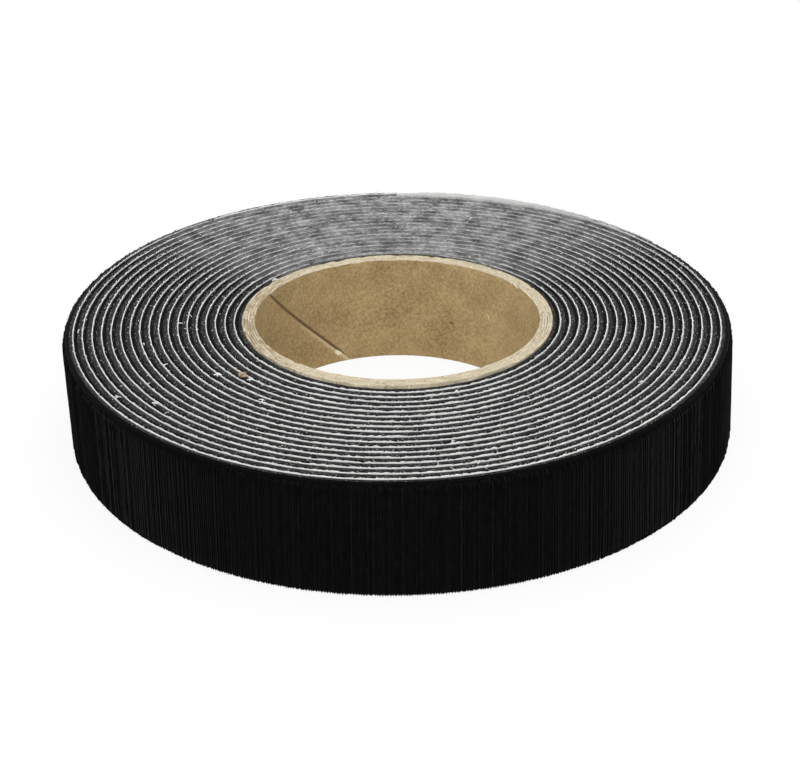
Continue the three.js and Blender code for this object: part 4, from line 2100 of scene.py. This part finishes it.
@dataclass
class Litter:
    """Paper dust, chips and shreds that lie on the roll."""

    top: float = 20.2
    liner_top: float = 20.36
    seed: int = 9
    tilt: float = 0.5
    heap: float = 0.28
    rise: float = 0.1
    growth: Range = (1.0, 1.5)
    bits: tuple[Bit, ...] = (
        Bit(-174.6, 56.43, 0.8, 1), Bit(-176.2, 38.67, 1.0, 1), Bit(179.0, 36.9, 0.6, 1),
        Bit(-143.4, 37.55, 1.1, 6), Bit(-139.2, 34.52, 1.6, 5, True), Bit(-135.9, 34.7, 0.9, 3),
        Bit(-166.7, 45.52, 0.6, 2), Bit(-154.7, 43.95, 0.7, 2), Bit(-152.0, 44.22, 0.5, 1),
        Bit(-148.8, 49.14, 0.5, 2), Bit(-146.8, 55.59, 0.9, 2), Bit(-149.1, 55.06, 0.4, 1),
        Bit(-140.7, 51.92, 0.8, 3), Bit(-178.6, 46.04, 0.4, 2), Bit(-173.0, 37.76, 0.4, 1),
        Bit(-133.0, 34.0, 0.4, 2), Bit(-136.4, 52.4, 0.6, 2), Bit(-125.3, 38.9, 0.7, 3),
        Bit(145.4, 27.4, 0.9, 2), Bit(167.3, 52.3, 0.5, 2), Bit(-71.3, 31.0, 0.9, 3),
        Bit(-76.5, 54.91, 1.6, 1, facing=76.0), Bit(-83.2, 53.84, 0.7, 1), Bit(-81.3, 55.72, 0.5, 1),
        Bit(-79.0, 47.1, 0.7, 2), Bit(-80.8, 42.7, 0.5, 2), Bit(-58.7, 56.0, 0.5, 2),
        Bit(-32.6, 48.4, 0.7, 2), Bit(-25.2, 51.7, 0.4, 2), Bit(-16.8, 51.3, 0.4, 1),
        Bit(-14.3, 39.7, 0.5, 1), Bit(-6.9, 49.1, 0.4, 1), Bit(-1.6, 52.1, 0.4, 1), Bit(10.2, 56.4, 0.4, 1),
    )

    def scatters(self, bench: Bench) -> None:
        """Strews beads of torn paper along the liner's edge, specks, shreds and a little dust on the side.

        Args:
            bench: finishes, trees and the layout.
        """
        layout = bench.layout
        shapes = bench.shapes
        all_ways = {"turn_low": (-60.0, -60.0, 0.0), "turn_high": (60.0, 60.0, FULL_TURN)}
        beads = Scatter(
            "beads", 900.0, seed=61, depth=(-0.16, 0.1),
            height=(self.liner_top - 0.08, self.liner_top + 0.01), size_low=(0.18, 0.18, 0.5),
            size_high=(0.58, 0.58, 1.0), **all_ways, sector_middle=-90.0, sector_half=125.0,
        )
        specks = Scatter(
            "specks", 480.0, seed=62, depth=(0.1, 1.4), height=(self.top - 0.03, self.top + 0.06),
            size_low=(0.12, 0.12, 0.3), size_high=(0.36, 0.36, 0.7), **all_ways,
        )
        shreds = Scatter(
            "shreds", 14.0, seed=71, depth=(-0.3, 0.8), height=(self.top, self.top + 0.16),
            size_low=(0.35, 0.5, 0.5), size_high=(0.9, 1.0, 1.0), relief=0.2, relief_length=0.35,
        )
        dust = Scatter(
            "dust", 40.0, seed=81, depth=(1.6, 1.66), height=(1.0, 19.5), size_low=(0.12, 0.12, 0.3),
            size_high=(0.4, 0.4, 0.6), turn_low=(0.0, 0.0, 0.0), turn_high=(30.0, 30.0, FULL_TURN), lean=90.0,
        )
        plan = (
            (beads, layout.lined, shapes.chip),
            (specks, layout.inner_lined, shapes.chip),
            (shreds, layout.inner_lined, shapes.shred),
            (dust, layout.outside, shapes.chip),
        )
        for scatter, stretch, shape in plan:
            made = scatter.build(bench, bench.winding, stretch, shape, bench.finishes.lint)
            stretch.carry(made, Slot.LINER)

    def placed(self, bench: Bench, from_board: bool) -> bpy.types.Object:
        """Gathers the bits that lie at known places.

        Args:
            bench: the shapes and finishes.
            from_board: whether the board's crumbs or the paper's shreds are gathered.

        Returns:
            The bits as one mesh.
        """
        draw = random.Random(self.seed)
        shape = (bench.shapes.chip if from_board else bench.shapes.shred).data
        vertices: list[Vector] = []
        faces: list[tuple[int, ...]] = []
        for bit in self.bits:
            if bit.from_board is not from_board:
                continue
            azimuth = math.radians(bit.azimuth)
            height = (self.top + self.liner_top) / 2
            centre = Vector((bit.radius * math.cos(azimuth), bit.radius * math.sin(azimuth), height))
            for _ in range(bit.shreds):
                facing = draw.uniform(0.0, math.pi) if bit.facing is None else math.radians(bit.facing)
                tilts = [draw.uniform(-self.tilt, self.tilt) for _ in range(2)]
                turn = Euler([*tilts, facing])
                spread = bit.size * self.heap if bit.shreds > 1 else 0.0
                reaches = ((-spread, spread), (-spread, spread), (0.0, self.rise))
                aside = Vector([draw.uniform(*reach) for reach in reaches])
                size = bit.size * draw.uniform(*self.growth)
                place = Matrix.Translation((centre + aside) * MM) @ turn.to_matrix().to_4x4()
                place = place @ Matrix.Scale(size, 4)
                first = len(vertices)
                vertices += [place @ v.co for v in shape.vertices]
                faces += [tuple(first + i for i in p.vertices) for p in shape.polygons]
        made = mesh_object("board_crumbs" if from_board else "paper_bits", vertices, faces)
        made.data.materials.append(bench.finishes.crumb if from_board else bench.finishes.lint)
        face_outwards(made)
        return made

    def build(self, bench: Bench) -> None:
        """Builds the litter.

        Args:
            bench: finishes, trees, shapes and the layout.
        """
        self.scatters(bench)
        bench.layout.lined.carry(self.placed(bench, False), Slot.LINER)
        bench.layout.lined.carry(self.placed(bench, True), Slot.BOARD)


# Studio


@dataclass(frozen=True)
class Lamp:
    """Soft round lamp: its place in metres, its width and its power."""

    name: str
    place: Point
    size: float
    power: float

    def build(self) -> None:
        """Hangs the lamp, facing the roll."""
        data = bpy.data.lights.new(self.name, "AREA")
        data.shape = "DISK"
        data.size = self.size
        data.energy = self.power
        lamp = bpy.data.objects.new(self.name, data)
        lamp.location = self.place
        lamp.rotation_mode = "QUATERNION"
        lamp.rotation_quaternion = (-Vector(self.place)).to_track_quat("-Z", "Y")
        bpy.context.scene.collection.objects.link(lamp)


@dataclass(frozen=True)
class Studio:
    """Pale floor, soft light and the camera of the picture."""

    eye: Point = (0.416, -362.0, 194.2)
    elevation: float = 27.351
    roll: float = -0.006
    lens: float = 101.27
    sensor: float = 36.0
    clip_start: float = 0.01
    floor_size: float = 3000.0
    floor_white: Colour = (0.9, 0.9, 0.9, 1.0)
    pure_white: Colour = (1.0, 1.0, 1.0, 1.0)
    floor_glow: float = 0.88
    world_strength: float = 0.5
    lamps: tuple[Lamp, ...] = (
        Lamp("overhead", (0.0, -0.1, 1.1), 1.2, 7.0),
        Lamp("front", (-0.05, -1.05, 0.66), 1.0, 6.2),
        Lamp("behind", (0.3, 0.95, 0.6), 0.8, 3.2),
    )

    def camera(self) -> None:
        """Sets the camera at the picture's angle."""
        data = bpy.data.cameras.new("camera")
        data.lens = self.lens
        data.sensor_width = self.sensor
        data.clip_start = self.clip_start
        made = bpy.data.objects.new("camera", data)
        angle = math.radians(self.elevation)
        forward = Vector((0.0, math.cos(angle), -math.sin(angle)))
        level_up = Vector((0.0, math.sin(angle), math.cos(angle)))
        across = Vector((1.0, 0.0, 0.0))
        right = across * math.cos(self.roll) + level_up * math.sin(self.roll)
        up = level_up * math.cos(self.roll) - across * math.sin(self.roll)
        turn = Matrix((right, up, -forward)).transposed().to_4x4()
        made.matrix_world = Matrix.Translation(Vector(self.eye) * MM) @ turn
        bpy.context.scene.collection.objects.link(made)
        bpy.context.scene.camera = made

    @staticmethod
    def seen_directly(sheet: Sheet) -> Socket:
        """Tells what is seen from light that falls on things.

        Args:
            sheet: nodes of the floor or the world.

        Returns:
            1 for rays from the camera and for reflected or passed-on ones, otherwise 0.
        """
        path = sheet.add("ShaderNodeLightPath").outputs
        seen = sheet.math("MAXIMUM", path["Is Camera Ray"], path["Is Glossy Ray"])
        return sheet.math("MAXIMUM", seen, path["Is Transmission Ray"])

    def floor(self) -> None:
        """Lays a white floor that keeps a soft shadow."""
        half = self.floor_size / 2 * MM
        corners = [(-half, -half, 0.0), (half, -half, 0.0), (half, half, 0.0), (-half, half, 0.0)]
        made = mesh_object("studio_floor", corners, [(0, 1, 2, 3)])
        coat = Coat("studio_floor")
        coat.hold({"Base Color": self.floor_white, "Roughness": 1.0, "Specular IOR Level": 0.0})
        glow = coat.add("ShaderNodeEmission", {"Color": self.pure_white, "Strength": 1.0}).outputs[0]
        share = coat.times(self.seen_directly(coat), self.floor_glow)
        mixed = coat.add("ShaderNodeMixShader", {0: share, 1: coat.shader.outputs[0], 2: glow}).outputs[0]
        coat.feed(coat.tree.nodes["Material Output"].inputs["Surface"], mixed)
        made.data.materials.append(coat.material)

    def world(self) -> None:
        """Surrounds the scene with even light, white where it is seen."""
        world = bpy.data.worlds.new("studio")
        world.use_nodes = True
        sheet = Sheet(world.node_tree)
        background = world.node_tree.nodes["Background"]
        background.inputs["Color"].default_value = self.pure_white
        strength = sheet.spread(self.seen_directly(sheet), 0.0, 1.0, self.world_strength, 1.0, "LINEAR")
        sheet.feed(background.inputs["Strength"], strength)
        bpy.context.scene.world = world

    def build(self) -> None:
        """Sets up the camera, floor, world and lamps."""
        bpy.context.scene.view_settings.view_transform = "Standard"
        self.camera()
        self.floor()
        self.world()
        for lamp in self.lamps:
            lamp.build()


def main() -> None:
    """Builds the studio and the roll."""
    logging.basicConfig(level=logging.INFO, format="%(name)s: %(message)s")
    Studio().build()
    tape = Tape()
    winding = Winding()
    layout = Layout(winding, tape.tail_length, tape.wedge)
    bench = Bench(Finishes(), Trees(), Shapes(), winding, layout)
    for assembly in (CardboardCore(), tape, Nap(tape), Litter()):
        assembly.build(bench)
    bench.shapes.remove()


if __name__ == "__main__":
    main()
